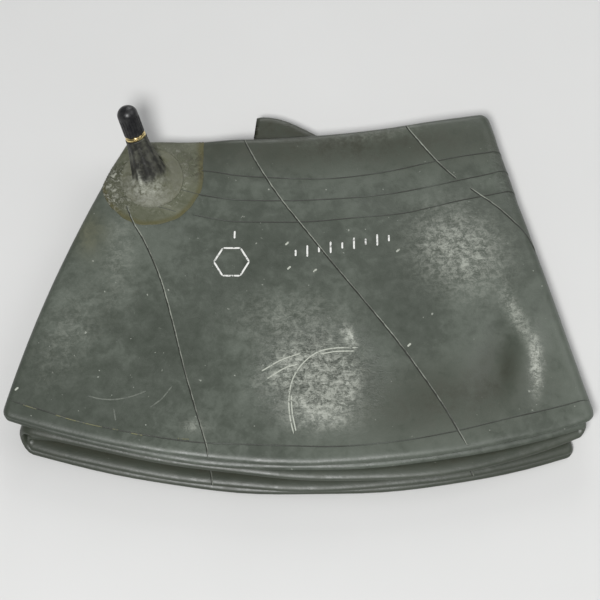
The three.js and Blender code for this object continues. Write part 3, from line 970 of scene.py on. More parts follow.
@dataclass(frozen=True)
class Cord:
    """A thin strip laid on the skin along a path, half-round in section.

    The path is in plan on the top layer. On a lower layer, given by its turn round the ring, it is the
    share along the layer and the distance in from the outer edge.
    """

    name: str
    path: tuple[Pair, ...]
    width: float = 1.0
    height: float = 0.45
    samples: int = 90
    turn: int = 0

    def spot(self, tube: FoldedTube, a: Array, b: Array) -> Array:
        """Places on the skin from the path's two numbers.

        Args:
            tube: The tube.
            a: The first numbers.
            b: The second numbers.

        Returns:
            The points.
        """
        if self.turn == 0:
            return tube.on_top(a, b)
        rim, outer, _ = tube.line_ends(tube.route[self.turn], a)
        width = np.linalg.norm(outer - rim, axis=-1)
        return tube.skin(self.turn * (1 + tube.bend_u) + a, width - b)

    def points(self, tube: FoldedTube) -> tuple[Array, Array]:
        """The strip's grid.

        Its section is (w cos p, h sin p) for p from 0 to 180 degrees, closed by a base just under the
        skin, square to the path; it narrows at both ends.

        Args:
            tube: The tube it lies on.

        Returns:
            The points, and how far each is to the strip's left, 0 to 1.
        """
        xy = spline(self.path, self.samples)
        centre = self.spot(tube, xy[:, 0], xy[:, 1])
        across_step, along_step = (0.05, 0.05) if self.turn == 0 else (0.0005, -0.05)
        du = self.spot(tube, xy[:, 0] + across_step, xy[:, 1]) - centre
        dv = self.spot(tube, xy[:, 0], xy[:, 1] + along_step) - centre
        normal = unit(np.cross(du, dv))
        normal = normal * np.sign(normal[:, 2:])
        along = unit(np.gradient(centre, axis=0))
        side = unit(np.cross(normal, along))
        p = np.linspace(0, math.pi, 7)
        across = np.append(np.cos(p), [-0.8, 0.8]) * self.width / 2
        up = np.append(np.sin(p) * self.height, [-0.25, -0.25])
        t = np.linspace(0, 1, self.samples)
        taper = (0.25 + 0.75 * smoothstep(0, 0.03, np.minimum(t, 1 - t)))[:, None, None]
        section = side[:, None] * across[None, :, None] + normal[:, None] * up[None, :, None]
        grid = centre[:, None] + taper * section
        return grid, np.broadcast_to(0.5 + across / self.width, grid.shape[:2])

    def build(self, tube: FoldedTube) -> bpy.types.Object:
        """The strip's mesh, with its SIDE mark."""
        grid, side = self.points(tube)
        obj = make_mesh(self.name, grid, loop_u=False)
        mark(obj, Channel.SIDE, side)
        return obj


def joined(name: str, pieces: list[bpy.types.Object]) -> bpy.types.Object:
    """Several objects made one.

    Args:
        name: The name of the result.
        pieces: The objects, which are used up.

    Returns:
        The one object.
    """
    if len(pieces) > 1:
        with bpy.context.temp_override(active_object=pieces[0], selected_editable_objects=pieces):
            bpy.ops.object.join()
    pieces[0].name = pieces[0].data.name = name
    return pieces[0]


@dataclass
class SkinMarks:
    """What stands on or is drawn on the layers that show: ridges, flash, creases, talc lines and ink."""

    tube: FoldedTube
    ring_ridges: tuple[tuple[Pair, ...], ...] = (
        ((-48.6, 62.5), (-39.4, 61.4), (-27.7, 59.4), (0, 58.2), (18.5, 58.7), (39.3, 61.8), (63.4, 67.0),
         (83.5, 70.8), (95, 72.4)),
        ((-58.4, 53.1), (-52.6, 51.6), (-44, 49.2), (-27.6, 46.8), (0, 46.8), (27.6, 48.4), (46, 50.9),
         (63, 54.5), (82, 59), (99, 63)),
        ((-49.5, 39.4), (-38.9, 37.1), (-27.4, 35.6), (0, 35.6), (20.6, 37.1), (45.8, 39.6), (59.6, 42.7),
         (78.1, 47.3), (101, 52.4)),
        ((-130.5, -51), (-109.7, -57.8), (-91.9, -63.2), (-69.9, -67.8), (-48, -71.2), (-26.2, -72.6),
         (0, -73.4), (19.6, -73.4), (43.6, -71.2), (65.6, -67), (87.6, -61.5), (109.8, -55.9),
         (129.5, -50.5)),
    )
    cross_ridges: tuple[tuple[Pair, ...], ...] = (
        ((-80.5, 45.9), (-76.5, 35.6), (-70.5, 24.6), (-63.2, 6.8), (-57.3, -13.8), (-51.4, -37),
         (-45.7, -56.9), (-41.2, -72), (-40, -78.6)),
        ((-27.5, 79.4), (-12.9, 53.9), (0, 35.0), (20.3, 6.8), (44.5, -26), (61.6, -52.2), (72, -70.9),
         (73.8, -72.2)),
        ((49.4, 84.5), (63.4, 67), (72.4, 57.6)),
        ((78.3, 52.9), (91.7, 42.1), (102.6, 29.9), (107.5, 22)),
    )
    lower_ridges: tuple[tuple[Pair, ...], ...] = (((0.803, 13.0), (0.822, 0.6)), ((0.328, 9.0), (0.338, 0.6)))
    lower_layer: int = 4
    patch_ridge: tuple[Pair, ...] = ((-78.7, 46.9), (-73.6, 45.4), (-68, 44.1), (-62, 42.5), (-56.5, 40.7))
    flash: tuple[tuple[Pair, ...], ...] = (
        ((-122, -54), (-116, -56.2)), ((-107.5, -58.9), (-97, -62.1), (-86.5, -64.6)),
        ((-82.3, -65.4), (-79.8, -65.9)), ((-74, -67.4), (-69, -68.4)), ((-53.5, -69.7), (-48.6, -70.2)),
    )
    scratches: tuple[tuple[Pair, ...], ...] = (
        ((-2.8, -67.7), (-4.4, -60), (-4.9, -51.3), (-3.1, -42.1), (1.2, -35.1), (7.6, -29.8), (15.2, -27.9),
         (25.9, -27.7)),
        ((-1.8, -66.5), (-3.4, -58), (-3.9, -50)),
        ((9, -30.6), (16, -29.5), (24, -29.3)),
        ((-17, -38.4), (-9, -33.5), (0, -30.2)),
        ((-14.5, -42), (-7, -37.2), (-1, -35.4)),
    )
    faint: tuple[tuple[Pair, ...], ...] = (
        ((-94, -49.9), (-88, -51.4), (-81.5, -51.6), (-74, -50), (-68, -47.5)),
        ((-66, -55.2), (-61, -51.0), (-56.6, -45.1)),
        ((-82, -56), (-81, -61.5)),
    )
    flecks: tuple[Pair, ...] = ((-125.4, -46.5), (-5.9, 24.4), (-5.0, 11.9), (6.8, 10.4), (44.5, 20.4),
                                (48.6, -26.4))

    def ridges(self) -> list[bpy.types.Object]:
        """The lengthwise ridges as one piece and the slanting ones as another."""
        paths = (*self.ring_ridges, self.patch_ridge)
        lengthwise = [Cord(f"ring_ridge_{i}", path, 0.55, 0.28, 160).build(self.tube)
                      for i, path in enumerate(paths)]
        slanting = [Cord(f"cross_ridge_{i}", path, 0.95, 0.36, 120).build(self.tube)
                    for i, path in enumerate(self.cross_ridges)]
        turn = self.tube.route.index(self.lower_layer)
        slanting += [Cord(f"lower_ridge_{i}", path, 0.95, 0.36, 30, turn).build(self.tube)
                     for i, path in enumerate(self.lower_ridges)]
        return [joined("ring_ridges", lengthwise), joined("cross_ridges", slanting)]

    def creases(self) -> bpy.types.Object:
        """The faint creases near the outer edge."""
        return joined("faint_creases", [Cord(f"crease_{i}", path, 0.7, 0.12, 60).build(self.tube)
                                        for i, path in enumerate(self.faint)])

    def talc_lines(self) -> bpy.types.Object:
        """The scratches and flecks that show white."""
        lines = [Cord(f"talc_line_{i}", path, 0.62, 0.14, 80).build(self.tube)
                 for i, path in enumerate(self.scratches)]
        specks = [Cord(f"fleck_{i}", ((x - 0.8, y - 0.7), (x + 0.8, y + 0.9)), 0.9, 0.12, 8).build(self.tube)
                  for i, (x, y) in enumerate(self.flecks)]
        return joined("talc_lines", lines + specks)

    def mould_flash(self) -> bpy.types.Object:
        """The dashes of thin yellowed flash left along the parting line."""
        return joined("mould_flash", [Cord(f"flash_{i}", path, 0.55, 0.3, 40).build(self.tube)
                                      for i, path in enumerate(self.flash)])

    def ink(self) -> bpy.types.Object:
        """Plain stamped marks: a six-sided outline with a tick above it, and a row of even bars."""
        cx, cy, r = -31.1, 15.4, 8.0
        angle = np.radians(np.arange(0, 361, 60))
        corners = list(zip(cx + r * np.cos(angle), cy + r * np.sin(angle)))
        strokes = [corners[i:i + 2] for i in range(6)]
        strokes.append([(-29.8, 31.0), (-29.9, 27.2)])
        start, end = np.array([-2.0, 19.6]), np.array([40.5, 26.9])
        for i, t in enumerate(np.linspace(0, 1, 9)):
            foot = start + (end - start) * t
            tall = 3.0 if i % 2 else 1.6
            strokes.append([tuple(foot - [0, tall]), tuple(foot + [0, tall])])
        pieces = [Cord(f"ink_{i}", tuple(map(tuple, stroke)), 0.85, 0.09, 14).build(self.tube)
                  for i, stroke in enumerate(strokes)]
        return joined("ink_marks", pieces)


# ------------------------------------------------------------------------------ the valve


@dataclass
class ValveAxis:
    """The leaning line that the valve's parts are turned about."""

    x: float = -68.5
    y: float = 57.5
    foot: float = 21.8
    lean: float = 36.0
    towards: float = 118.0

    def frame(self) -> tuple[Array, Array, Array, Array]:
        """The foot, the direction down the lean, the level direction across it, and the axis."""
        a, b = math.radians(self.lean), math.radians(self.towards)
        down = np.array([math.cos(a) * math.cos(b), math.cos(a) * math.sin(b), -math.sin(a)])
        level = np.array([-math.sin(b), math.cos(b), 0.0])
        axis = np.array([math.sin(a) * math.cos(b), math.sin(a) * math.sin(b), math.cos(a)])
        return np.array([self.x, self.y, self.foot]), down, level, axis

    def place(self, radius: Array, angle: Array, height: Array) -> Array:
        """Points at radii and angles about the axis, and heights along it.

        Args:
            radius: The radii.
            angle: The angles, in radians.
            height: The heights above the foot.

        Returns:
            The points.
        """
        foot, down, level, axis = self.frame()
        radius, angle, height = (a[..., None] for a in np.broadcast_arrays(radius, angle, height))
        return foot + radius * (np.cos(angle) * down + np.sin(angle) * level) + height * axis

    def turned(self, name: str, outline: Sequence[Pair], bevel: float = 0.08,
               sides: int = 64) -> bpy.types.Object:
        """A piece turned from an outline of (radius, height) that closes on itself, clear of the axis.

        Args:
            name: The piece's name.
            outline: Its corners.
            bevel: How far its corners are rounded.
            sides: Columns round it.

        Returns:
            The piece.
        """
        p = rounded(outline, bevel)
        angle = np.linspace(0, 2 * math.pi, sides, endpoint=False)
        return make_mesh(name, self.place(p[:, :1], angle[None], p[:, 1:]), loop_u=True)

    def turned_solid(self, name: str, outline: Sequence[Pair], bevel: float = 0.08,
                     sides: int = 64) -> bpy.types.Object:
        """A piece turned from an outline whose two ends are flat faces on the axis.

        Args:
            name: The piece's name.
            outline: Its corners, without the two on the axis.
            bevel: How far its corners are rounded.
            sides: Columns round it.

        Returns:
            The piece.
        """
        ends = [(0.2 * outline[0][0], outline[0][1]), *outline, (0.2 * outline[-1][0], outline[-1][1])]
        p = rounded(ends, bevel, closed=False)
        angle = np.linspace(0, 2 * math.pi, sides, endpoint=False)
        return make_mesh(name, self.place(p[:, :1], angle[None], p[:, 1:]), loop_u=False)


@dataclass
class ValveFoot:
    """The cemented patch on the tube, and the moulded base and sleeve of the valve."""

    tube: FoldedTube
    axis: ValveAxis
    patch_radius: float = 23.5
    patch_thick: float = 0.14
    pad_radius: float = 14.6
    sleeve_low: float = 7.9
    sleeve_top: float = 5.05
    sleeve_end: float = 22.9
    tear_start: float = 2.1
    tear_reach: float = 0.12

    def patch(self) -> bpy.types.Object:
        """The patch: round but for a square corner behind, laid on the skin, with a feathered rim.

        Returns:
            The piece, with marks for cement at its rim, and grime, talc and crinkles on its left.
        """
        r = np.concatenate([np.linspace(1.5, 21.5, 26), np.linspace(21.9, self.patch_radius, 8)])
        a = np.linspace(0, 2 * math.pi, 160, endpoint=False)
        corner = np.where((a > 0) & (a < math.pi / 2), 1 / np.maximum(np.cos(a), np.sin(a)), 1.0)
        ragged = 1 + 0.012 * np.sin(3 * a + 0.6) + 0.008 * np.sin(7 * a + 2.1) + 0.005 * np.sin(17 * a)
        radius = r[:, None] * (1 + (ragged[None] - 1) * (r[:, None] / self.patch_radius) ** 2)
        radius = radius * (1 + (corner - 1) * (r[:, None] / self.patch_radius) ** 2)
        x = self.axis.x + radius * np.cos(a)
        y = self.axis.y + radius * np.sin(a)
        edge = np.clip((self.patch_radius - r) / 1.6, 0, 1)
        thick = self.patch_thick * (0.25 + 0.75 * np.sqrt(edge))[:, None]
        left = smoothstep(-4, -16, x - self.axis.x) * smoothstep(20, 5, np.abs(y - self.axis.y + 4))
        lumps = 0.4 * left * (np.sin(x * 2.3 + 1.7 * np.sin(y * 1.9)) * np.sin(y * 2.1 + np.sin(x)))
        outer = self.tube.on_top(x, y, thick + 0.08 + np.maximum(lumps, -0.05))
        inner = self.tube.on_top(x, y, 0.04)
        grid = np.concatenate([inner, outer[::-1]])
        obj = make_mesh("valve_patch_round", grid, loop_u=False)
        rr = np.concatenate([np.broadcast_to(r[:, None], x.shape), np.broadcast_to(r[::-1, None], x.shape)])
        dx = np.concatenate([x, x[::-1]]) - self.axis.x
        dy = np.concatenate([y, y[::-1]]) - self.axis.y
        rim = smoothstep(20.6, 22.6, rr)
        mark(obj, Channel.CEMENT, rim)
        on_left = smoothstep(-3, -13, dx) * smoothstep(16, 6, np.abs(dy + 4))
        on_right = smoothstep(7, 13, dx) * smoothstep(12, 4, np.abs(dy - 7))
        behind = smoothstep(6, 14, dy) * smoothstep(24, 17, rr)
        mark(obj, Channel.GRIME_AND_SHADE, 0.8 * np.maximum(np.maximum(on_left, 0.8 * on_right), 0.7 * behind))
        by_pad = np.exp(-((rr - self.pad_radius - 1.2) / 1.6) ** 2) * smoothstep(-6, 6, dx)
        near_pad = np.maximum(0.3 * smoothstep(17, 12, rr), 0.35 * by_pad)
        mark(obj, Channel.TALC_AND_HIGHLIGHT, np.maximum(0.85 * on_left, near_pad))
        mark(obj, Channel.CRINKLE, np.maximum(0.6 * on_left, 0.3 * on_right))
        return obj

    def level_rings(self, radius: Array, angle: Array) -> tuple[Array, Array]:
        """Level rings about the valve's foot, with angles from the way it leans.

        Args:
            radius: Their radii.
            angle: The angles, in radians.

        Returns:
            The points' x and y.
        """
        foot, _, level, _ = self.axis.frame()
        lean = math.radians(self.axis.towards)
        return (foot[0] + radius * (np.cos(angle) * math.cos(lean) + np.sin(angle) * level[0]),
                foot[1] + radius * (np.cos(angle) * math.sin(lean) + np.sin(angle) * level[1]))

    def tear(self, angle: Array, width: float) -> Array:
        """A narrow peak in angle where the rubber is torn up, at the sleeve's front left.

        Args:
            angle: The angles, in radians.
            width: The peak's width.

        Returns:
            exp(-x^2), with x the angle from the peak over its width.
        """
        return np.exp(-((np.mod(angle - self.tear_start, 2 * math.pi) - self.tear_reach) / width) ** 2)

    def rubber(self) -> bpy.types.Object:
        """The moulded base and sleeve as one closed skin.

        Every ring is a blend of a level ring on the patch and a ring square to the leaning axis. The
        blend goes from level at the base's rim to square at the sleeve's root, by an S curve.

        Returns:
            The piece, with marks for cement and talc at its foot.
        """
        t = np.concatenate([np.linspace(0, 0.55, 40), np.linspace(0.57, 1, 30)])[:, None]
        a = np.linspace(0, 2 * math.pi, 128, endpoint=False)[None]
        spread = self.pad_radius + (self.sleeve_low - self.pad_radius) * np.minimum(1, t / 0.5)
        gx, gy = self.level_rings(spread, a)
        swell = 0.02 + 1.58 * smoothstep(0, 0.4, t)
        ground = self.tube.on_top(gx, gy, self.patch_thick + 0.08 + swell)
        h = self.sleeve_end * np.clip((t - 0.2) / 0.8, 0, 1)
        radius = self.sleeve_low + 0.5 * np.exp(-h / 1.2)
        radius = radius + (self.sleeve_top - self.sleeve_low) * smoothstep(1.0, self.sleeve_end, h)
        ribs = 0.22 * np.sin(9 * a + 0.8) * smoothstep(2, 7, h) * smoothstep(self.sleeve_end, 15, h)
        folds = 1.1 * self.tear(a, 0.09) * smoothstep(9, 3, h)
        sleeve = self.axis.place(radius + ribs + folds, a, h)
        share = smoothstep(0.28, 0.5, t)[..., None]
        outside = ground * (1 - share) + sleeve * share
        end = self.sleeve_end
        rim_h = np.array([[end + 0.25], [end + 0.1], [end - 0.5], [10.0], [9.0]])
        rim_r = np.array([[4.6], [3.75], [3.45], [3.45], [1.0]])
        inside = self.axis.place(rim_r, a, rim_h)
        under_r = np.array([[3.0], [9.0], [self.pad_radius - 0.3]])
        under = self.tube.on_top(*self.level_rings(under_r, a), 0.3)
        grid = np.concatenate([under, outside, inside])
        obj = make_mesh("valve_sleeve", grid, loop_u=False)
        t_all = np.concatenate([np.zeros((3, 1)), t, np.ones((5, 1))])
        aa = np.broadcast_to(a, (len(t_all), a.shape[1]))
        wander = 0.05 * np.sin(5 * aa + 0.5) + 0.03 * np.sin(13 * aa)
        stain = 1 - smoothstep(0.4, 0.44, t_all + 0.12 * wander)
        mark(obj, Channel.CEMENT, stain)
        facing_right = 0.5 + 0.5 * np.sin(aa - 0.6)
        near_foot = np.exp(-((t_all - 0.38) / 0.05) ** 2)
        torn = self.tear(aa, 0.1) * np.exp(-((t_all - 0.42) / 0.09) ** 2)
        mark(obj, Channel.TALC_AND_HIGHLIGHT, np.clip(stain * 0.34 * facing_right + 0.65 * near_foot * facing_right**2
                                        + 1.5 * torn, 0, 1))
        mark(obj, Channel.SIDE, 0.5 + 0.5 * np.sin(8 * aa + 1.3 * np.sin(3 * aa + 0.4)))
        return obj


@dataclass
class ValveStem:
    """The turned brass stem, with its collar and the thread for the cap."""

    axis: ValveAxis
    thread_pitch: float = 0.794
    thread_depth: float = 0.42
    thread_foot: float = 24.9
    thread_radius: float = 3.85

    def build(self) -> bpy.types.Object:
        """The stem: its outline turned, with the thread as a wave that winds up the outside.

        The radius there is less than the crest's by depth * (1 - cos(2 pi (h / pitch - a / 2 pi))) / 2.

        Returns:
            The piece.
        """
        lower = rounded([(2.2, 6.0), (4.4, 6.0), (4.4, 8.4), (3.15, 8.4), (3.15, 23.3), (4.75, 23.3),
                         (4.75, 24.3), (3.5, 24.3)], 0.15, closed=False)
        thread_h = np.linspace(24.5, 34.6, 150)
        thread = np.stack([np.full_like(thread_h, self.thread_radius), thread_h], 1)
        upper = rounded([(3.35, 35.0), (2.45, 35.0), (2.45, 28.6), (2.2, 27.1), (2.2, 7.0)], 0.12,
                        closed=False)
        p = np.concatenate([lower, thread, upper])
        a = np.linspace(0, 2 * math.pi, 72, endpoint=False)[None]
        h = p[:, 1:]
        is_thread = (p[:, :1] == self.thread_radius) & (h > self.thread_foot - 1)
        depth = self.thread_depth * smoothstep(24.5, 25.1, h) * smoothstep(34.9, 34.0, h)
        wave = (1 - np.cos(2 * math.pi * h / self.thread_pitch - a)) / 2
        radius = p[:, :1] - is_thread * depth * wave - is_thread * 0.45 * smoothstep(34.1, 34.6, h)
        stem = make_mesh("brass_stem", self.axis.place(radius, a, h), loop_u=True)
        # Painted shade: the thread's root in the gap between the collar and the cap is darkened to near
        # black.
        darkened = smoothstep(24.3, 24.42, h) * smoothstep(27.5, 26.0, h) * (p[:, :1] > 3.0)
        mark(stem, Channel.GRIME_AND_SHADE, np.broadcast_to(0.95 * darkened, radius.shape))
        return stem


@dataclass
class DustCap:
    """The moulded screw cap: fluted below, a plain dome above."""

    axis: ValveAxis
    foot: float = 25.2
    top: float = 39.5
    radius: float = 4.75
    flutes: int = 20
    flute_depth: float = 0.34
    dome_height: float = 4.4

    def build(self) -> bpy.types.Object:
        """The cap: an outline turned, its side cut by flutes that fade out below the dome."""
        dome = np.linspace(0, math.pi / 2, 22)[:-1]
        dome_foot = self.top - self.dome_height
        outside = [(self.radius - 0.25, self.foot), (self.radius - 0.02, self.foot + 0.25)]
        side = [(self.radius, h) for h in np.linspace(self.foot + 0.5, dome_foot - 0.2, 26)]
        crown = [(self.radius * math.cos(b) ** 0.92, dome_foot + self.dome_height * math.sin(b))
                 for b in dome]
        hollow = [(0.4, self.top - 1.0), (2.1, self.top - 1.0), (3.0, 36.75), (3.0, 35.95), (4.0, 35.95),
                  (4.0, 34.5), (4.12, 34.0), (4.12, 27.0), (4.0, 26.5), (4.0, self.foot + 0.3),
                  (4.25, self.foot)]
        p = np.array(outside + side + crown + [(0.1, self.top)] + hollow)
        a = np.linspace(0, 2 * math.pi, 192, endpoint=False)[None]
        h = p[:, 1:]
        outer_rows = len(outside) + len(side) + len(crown)
        is_outside = (np.arange(len(p)) < outer_rows)[:, None]
        fade = smoothstep(self.foot, self.foot + 0.8, h) * smoothstep(dome_foot - 0.3, dome_foot - 2.2, h)
        groove = (0.5 + 0.5 * np.cos(self.flutes * a)) ** 3
        radius = p[:, :1] - is_outside * fade * self.flute_depth * groove
        grid = self.axis.place(radius, a, h)
        rows = np.concatenate([grid[outer_rows + 1:], grid[:outer_rows + 1]])
        return make_mesh("screw_cap", rows, loop_u=False)


@dataclass
class ValveCore:
    """The spring core inside the stem, and the liner inside the cap."""

    axis: ValveAxis
    core_pitch: float = 0.7056
    spring_low: float = 25.0
    spring_high: float = 28.7
    spring_keep: float = 0.7

    def plug(self) -> bpy.types.Object:
        """The plug: a threaded round below and a flat-sided tang above.

        Across the tang the radius is cut to tang / |sin a| where that is less.

        Returns:
            The piece.
        """
        p = np.concatenate([
            rounded([(0.9, 30.6), (2.1, 30.6), (2.3, 30.8)], 0.08, closed=False),
            np.stack([np.full(46, 2.3), np.linspace(30.85, 33.25, 46)], 1),
            rounded([(2.2, 33.3), (2.2, 33.36), (2.2, 34.2), (0.9, 34.2)], 0.08, closed=False)])
        a = np.linspace(0, 2 * math.pi, 96, endpoint=False)[None]
        h = p[:, 1:]
        wave = (1 - np.cos(2 * math.pi * h / self.core_pitch - a)) / 2
        threaded = smoothstep(30.8, 31.0, h) * smoothstep(33.3, 33.15, h)
        radius = p[:, :1] - 0.25 * threaded * wave
        tang = np.minimum(radius, np.maximum(1.3 / np.maximum(np.abs(np.sin(a)), 1e-3), 0.9))
        share = smoothstep(33.3, 33.36, h)
        radius = radius * (1 - share) + tang * share
        return make_mesh("core_plug_turned", self.axis.place(radius, a, h), loop_u=True)

    def spring_seat(self) -> Triple:
        """Where the spring's foot rests in the barrel, in metres."""
        return tuple(self.axis.place(np.array(0.0), np.array(0.0), np.array(self.spring_low)) * MM)

    def spring(self) -> bpy.types.Object:
        """The spring: a round wire carried along a helix with closed end turns."""
        t = np.linspace(0, 1, 420)
        low, high = self.spring_low, self.spring_high
        turns, r, wire = 6.0, 1.0, 0.17
        a = 2 * math.pi * turns * t
        path = self.axis.place(np.full_like(t, r), a, low + (high - low) * t)
        along = unit(np.gradient(path, axis=0))
        centre = self.axis.place(np.zeros_like(t), a, low + (high - low) * t)
        out = unit(path - centre)
        side = unit(np.cross(along, out))
        b = np.linspace(0, 2 * math.pi, 12, endpoint=False)
        section = np.cos(b)[None, :, None] * out[:, None] + np.sin(b)[None, :, None] * side[:, None]
        grid = path[:, None] + wire * section
        return make_mesh("core_spring_wire", grid, loop_u=False)

    def turned_parts(self) -> dict[str, bpy.types.Object]:
        """The plain turned pieces, by the CAD node that each replaces."""
        x = self.axis
        return {
            "cap_liner": x.turned("cap_liner_ring", [
                (2.95, 35.1), (3.85, 35.1), (3.85, 35.8), (2.95, 35.8)], 0.15),
            "core_barrel": x.turned("core_barrel_turned", [
                (0.95, 23.9), (1.75, 23.9), (1.75, 30.3), (1.0, 30.3), (1.0, 29.7), (1.4, 29.7), (1.4, 24.7),
                (0.95, 24.7)]),
            "core_seal": x.turned("core_seal_cone", [(1.95, 27), (2.1, 27), (2.3, 29.4), (1.95, 29.4)], 0.06),
            "core_cup": x.turned("core_cup_pressed", [
                (0.75, 21), (1.85, 21), (1.85, 22.9), (1.6, 22.9), (1.6, 21.25), (0.75, 21.25)], 0.08),
            "core_washer": x.turned("core_washer_ring", [
                (0.85, 21.6), (1.3, 21.6), (1.3, 23.6), (0.85, 23.6)], 0.1),
            "core_pin": x.turned_solid("core_pin_turned", [
                (0.6, 20.4), (0.6, 29.0), (1.05, 29.0), (1.05, 29.5), (0.6, 29.5), (0.6, 34.7)], 0.08, 40),
        }


# ------------------------------------------------------------------------------ the studio


@dataclass
class Studio:
    """A pale floor, soft lights and the camera."""

    aim: Triple = (0.0, 0.0, 14.0)
    distance: float = 950.0
    elevation: float = 66.0
    lens: float = 125.4

    def camera(self) -> None:
        """The camera, on a sphere about its aim."""
        e = math.radians(self.elevation)
        data = bpy.data.cameras.new("camera")
        data.lens, data.sensor_width = self.lens, 36.0
        data.clip_start, data.clip_end = 0.05, 20
        camera = bpy.data.objects.new("camera", data)
        camera.location = [(p + q * self.distance) * MM
                           for p, q in zip(self.aim, (0.0, -math.cos(e), math.sin(e)))]
        camera.rotation_euler = (math.radians(90 - self.elevation), 0, 0)
        bpy.context.scene.collection.objects.link(camera)
        bpy.context.scene.camera = camera

    def floor(self) -> None:
        """A pale floor under the object."""
        g = Graph("studio_floor")
        speckle = g.noise(12, 3, 0.5)
        material = g.finish(g.blend(speckle, (0.6, 0.6, 0.59), (0.64, 0.64, 0.63)), 0.75)
        mesh = bpy.data.meshes.new("floor")
        s = 4.0
        mesh.from_pydata([(-s, -s, 0), (s, -s, 0), (s, s, 0), (-s, s, 0)], [], [(0, 1, 2, 3)])
        floor = bpy.data.objects.new("floor", mesh)
        floor.data.materials.append(material)
        bpy.context.scene.collection.objects.link(floor)

    def light(self, name: str, place: Triple, size: float, power: float) -> None:
        """A soft square light that faces the object.

        Args:
            name: Its name.
            place: Where it stands, in metres.
            size: Its side, in metres.
            power: Its power, in watts.
        """
        data = bpy.data.lights.new(name, "AREA")
        data.size, data.energy = size, power
        lamp = bpy.data.objects.new(name, data)
        lamp.location = place
        direction = np.array([0, 0, 0.01]) - np.array(place)
        lamp.rotation_euler = Vector(direction).to_track_quat("-Z", "Y").to_euler()
        bpy.context.scene.collection.objects.link(lamp)

    def build(self) -> None:
        """The camera, the floor, three lights and a pale surround."""
        self.camera()
        self.floor()
        self.light("key", (-0.12, -0.62, 1.15), 0.22, 14.5)
        self.light("fill", (0.9, 0.3, 1.0), 0.9, 4.5)
        self.light("back", (0.1, 1.2, 0.7), 0.7, 5)
        bpy.context.scene.view_settings.view_transform = "Standard"
        world = bpy.data.worlds.new("surround")
        world.use_nodes = True
        world.node_tree.nodes["Background"].inputs["Color"].default_value = (0.9, 0.92, 0.95, 1)
        world.node_tree.nodes["Background"].inputs["Strength"].default_value = 0.22
        bpy.context.scene.world = world


# ------------------------------------------------------------------------------ putting it together


def keep(obj: bpy.types.Object, body: Body, slot: str, material: bpy.types.Material, *nodes: str) -> None:
    """Dresses a piece and says what it rides on and stands for.

    Args:
        obj: The piece.
        body: The body it moves with.
        slot: The record's material slot; not used.
        material: Its finish.
        nodes: The CAD nodes it replaces.
    """
    obj.data.materials.clear()
    obj.data.materials.append(material)
    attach(obj, body.value)
    if nodes:
        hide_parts(*nodes)
    log.info("%s rides on %s, %d faces", obj.name, body.value, len(obj.data.polygons))


def mark_tube(obj: bpy.types.Object, inset: Array) -> None:
    """Marks where talc lies, crinkles run and dirt gathers on the tube, with painted shade on the lower
    layers and in the hollow beside the right bulge, and painted highlights laid in as talc.

    Args:
        obj: The tube.
        inset: Each vertex's distance in from the outer edge.
    """
    place = np.empty(len(obj.data.vertices) * 3, np.float32)
    obj.data.vertices.foreach_get("co", place)
    x, y, z = (place.reshape(-1, 3).astype(float) / MM).T
    up = smoothstep(18, 21, z)
    # Talc; the swells at (72, 21), (98, -14) and (104.6, -36) are painted highlights: the soft sheen on the
    # rise and the curved highlight along the right bulge.
    talc = total([Swell(2, -40, 14, 16, 0.72, 20), Swell(16, -42, 11, 15, 0.6), Swell(10, -60, 14, 5, 0.5),
                  Swell(22, -22, 2.2, 5, 0.9, 20), Swell(19, -50, 8, 3.4, 1.3, 55), Swell(4, -53, 6, 3, 1.0),
                  Swell(-8, -38, 14, 6, 0.22, 35), Swell(72, 21, 20, 17, 0.56, -50),
                  Swell(98, -14, 14, 3, 0.55, -68), Swell(104.6, -36, 11, 2.4, 1.3, 88),
                  Swell(-104, -20, 12, 24, 0.14, -20), Swell(-46, -64, 5, 2.5, 0.35),
                  Swell(-82, 20, 8, 24, 0.16), Swell(30, 80, 24, 3, 0.3, 8),
                  Swell(-5, -12, 24, 12, 0.18)], x, y)
    mark(obj, Channel.TALC_AND_HIGHLIGHT, np.clip(talc * up, 0, 1))
    crinkle = total([Swell(2, -40, 18, 18, 0.5), Swell(16, -40, 20, 18, 0.5),
                     Swell(98, 60, 6, 16, 1.0, 15)], x, y)
    mark(obj, Channel.CRINKLE, np.clip(crinkle * up, 0, 1))
    # Darker patches along the rim side, at the lower right and near the right edge; the one at (89, -34) is
    # painted shade in the hollow beside the right bulge.
    soil_and_shade = total([Swell(20, 75, 90, 12, 0.95, 2), Swell(62, -52, 44, 17, 0.8, 12),
                  Swell(89, -34, 15, 8, 0.5, 70), Swell(99, 60, 5, 14, 0.45, 15),
                  Swell(-88, 20, 10, 40, 0.12)], x, y)
    # Painted shade: every layer under the top one is darkened, most deeply well in from its outer edge, where
    # the overhang and the gaps between layers are shaded.
    below = smoothstep(18, 15, z) * (0.5 + 0.48 * smoothstep(2.8, 6, inset))
    mark(obj, Channel.GRIME_AND_SHADE, np.clip(soil_and_shade * up + below, 0, 1))
    mark(obj, Channel.CEMENT, np.clip(Swell(-96, 30, 7, 10, 0.35).at(x, y) * up, 0, 1))


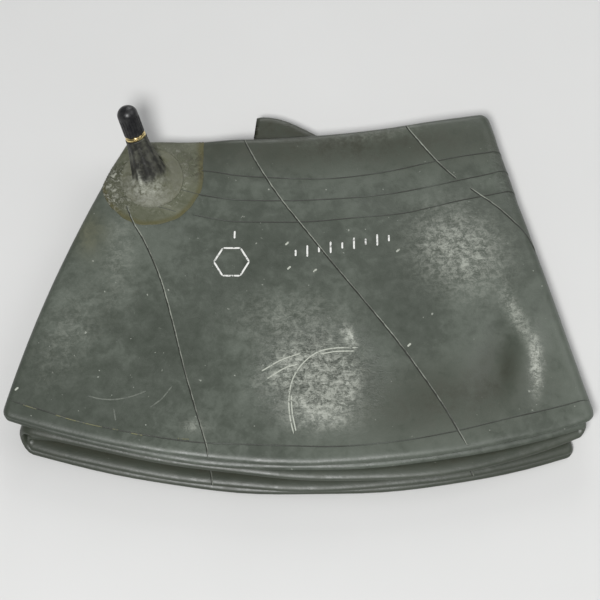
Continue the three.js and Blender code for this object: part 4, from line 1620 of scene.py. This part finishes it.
def main() -> None:
    """Builds the studio, the tube, its marks and the valve, in that order."""
    Studio().build()

    tube = FoldedTube()
    tube.lay_out(top_steps=190, other_steps=26, bend_steps=18)
    rubber = TubeRubber().build()
    ring, inset = tube.build()
    mark_tube(ring, inset)
    keep(ring, Body.TUBE, "tube_rubber", rubber, "tube_body")

    marks = SkinMarks(tube)
    lengthwise, slanting = marks.ridges()
    for piece, finish in (
        (lengthwise, RidgeRubber("ring_ridge_rubber", lit_share=0.1, fade=0.46)),
        (slanting, RidgeRubber("cross_ridge_rubber", lit_share=0.9, fade=0.3)),
        (marks.mould_flash(), Chalk("flash_rubber", (0.15, 0.15, 0.075), worn=0.5)),
        (marks.talc_lines(), Chalk("talc", (0.42, 0.44, 0.38), worn=0.41)),
        (marks.creases(), Chalk("crease_bloom", (0.125, 0.137, 0.115), worn=0.5)),
        (marks.ink(), Chalk("stamping_ink", (0.72, 0.72, 0.69), worn=0.42)),
    ):
        keep(piece, Body.TUBE, "tube_rubber", finish.build())

    axis = ValveAxis()
    foot = ValveFoot(tube, axis)
    keep(foot.patch(), Body.TUBE, "patch_rubber", CementedRubber().build(), "valve_patch")
    keep(foot.rubber(), Body.TUBE, "moulded_rubber", SleeveRubber().build(), "valve_rubber")
    brass = Brass().build()
    keep(ValveStem(axis).build(), Body.TUBE, "stem_brass", brass, "valve_stem")
    keep(DustCap(axis).build(), Body.CAP, "cap_plastic", CapPlastic().build(), "dust_cap")

    core = ValveCore(axis)
    red = SealRubber("core_seal_rubber", (0.3, 0.05, 0.03), (0.38, 0.12, 0.09)).build()
    black = SealRubber("liner_rubber", (0.03, 0.03, 0.03), (0.07, 0.07, 0.07)).build()
    dress = {
        "cap_liner": (Body.CAP_LINING, "liner_rubber", black),
        "core_barrel": (Body.CORE, "core_brass", brass),
        "core_seal": (Body.CORE, "seal_rubber", red),
        "core_cup": (Body.CORE_PLUNGER, "core_brass", brass),
        "core_washer": (Body.CORE_PLUNGER, "seal_rubber", red),
        "core_pin": (Body.CORE_PLUNGER, "pin_brass", brass),
    }
    for node, piece in core.turned_parts().items():
        keep(piece, *dress[node], node)
    keep(core.plug(), Body.CORE_TURNER, "core_brass", brass, "core_plug")
    spring = core.spring()
    keep(spring, Body.CORE, "spring_steel", SpringWire().build(), "core_spring")
    core.spring_seat()
    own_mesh(spring)


if __name__ == "__main__":
    logging.basicConfig(level=logging.INFO, format="%(name)s: %(message)s")
    main()
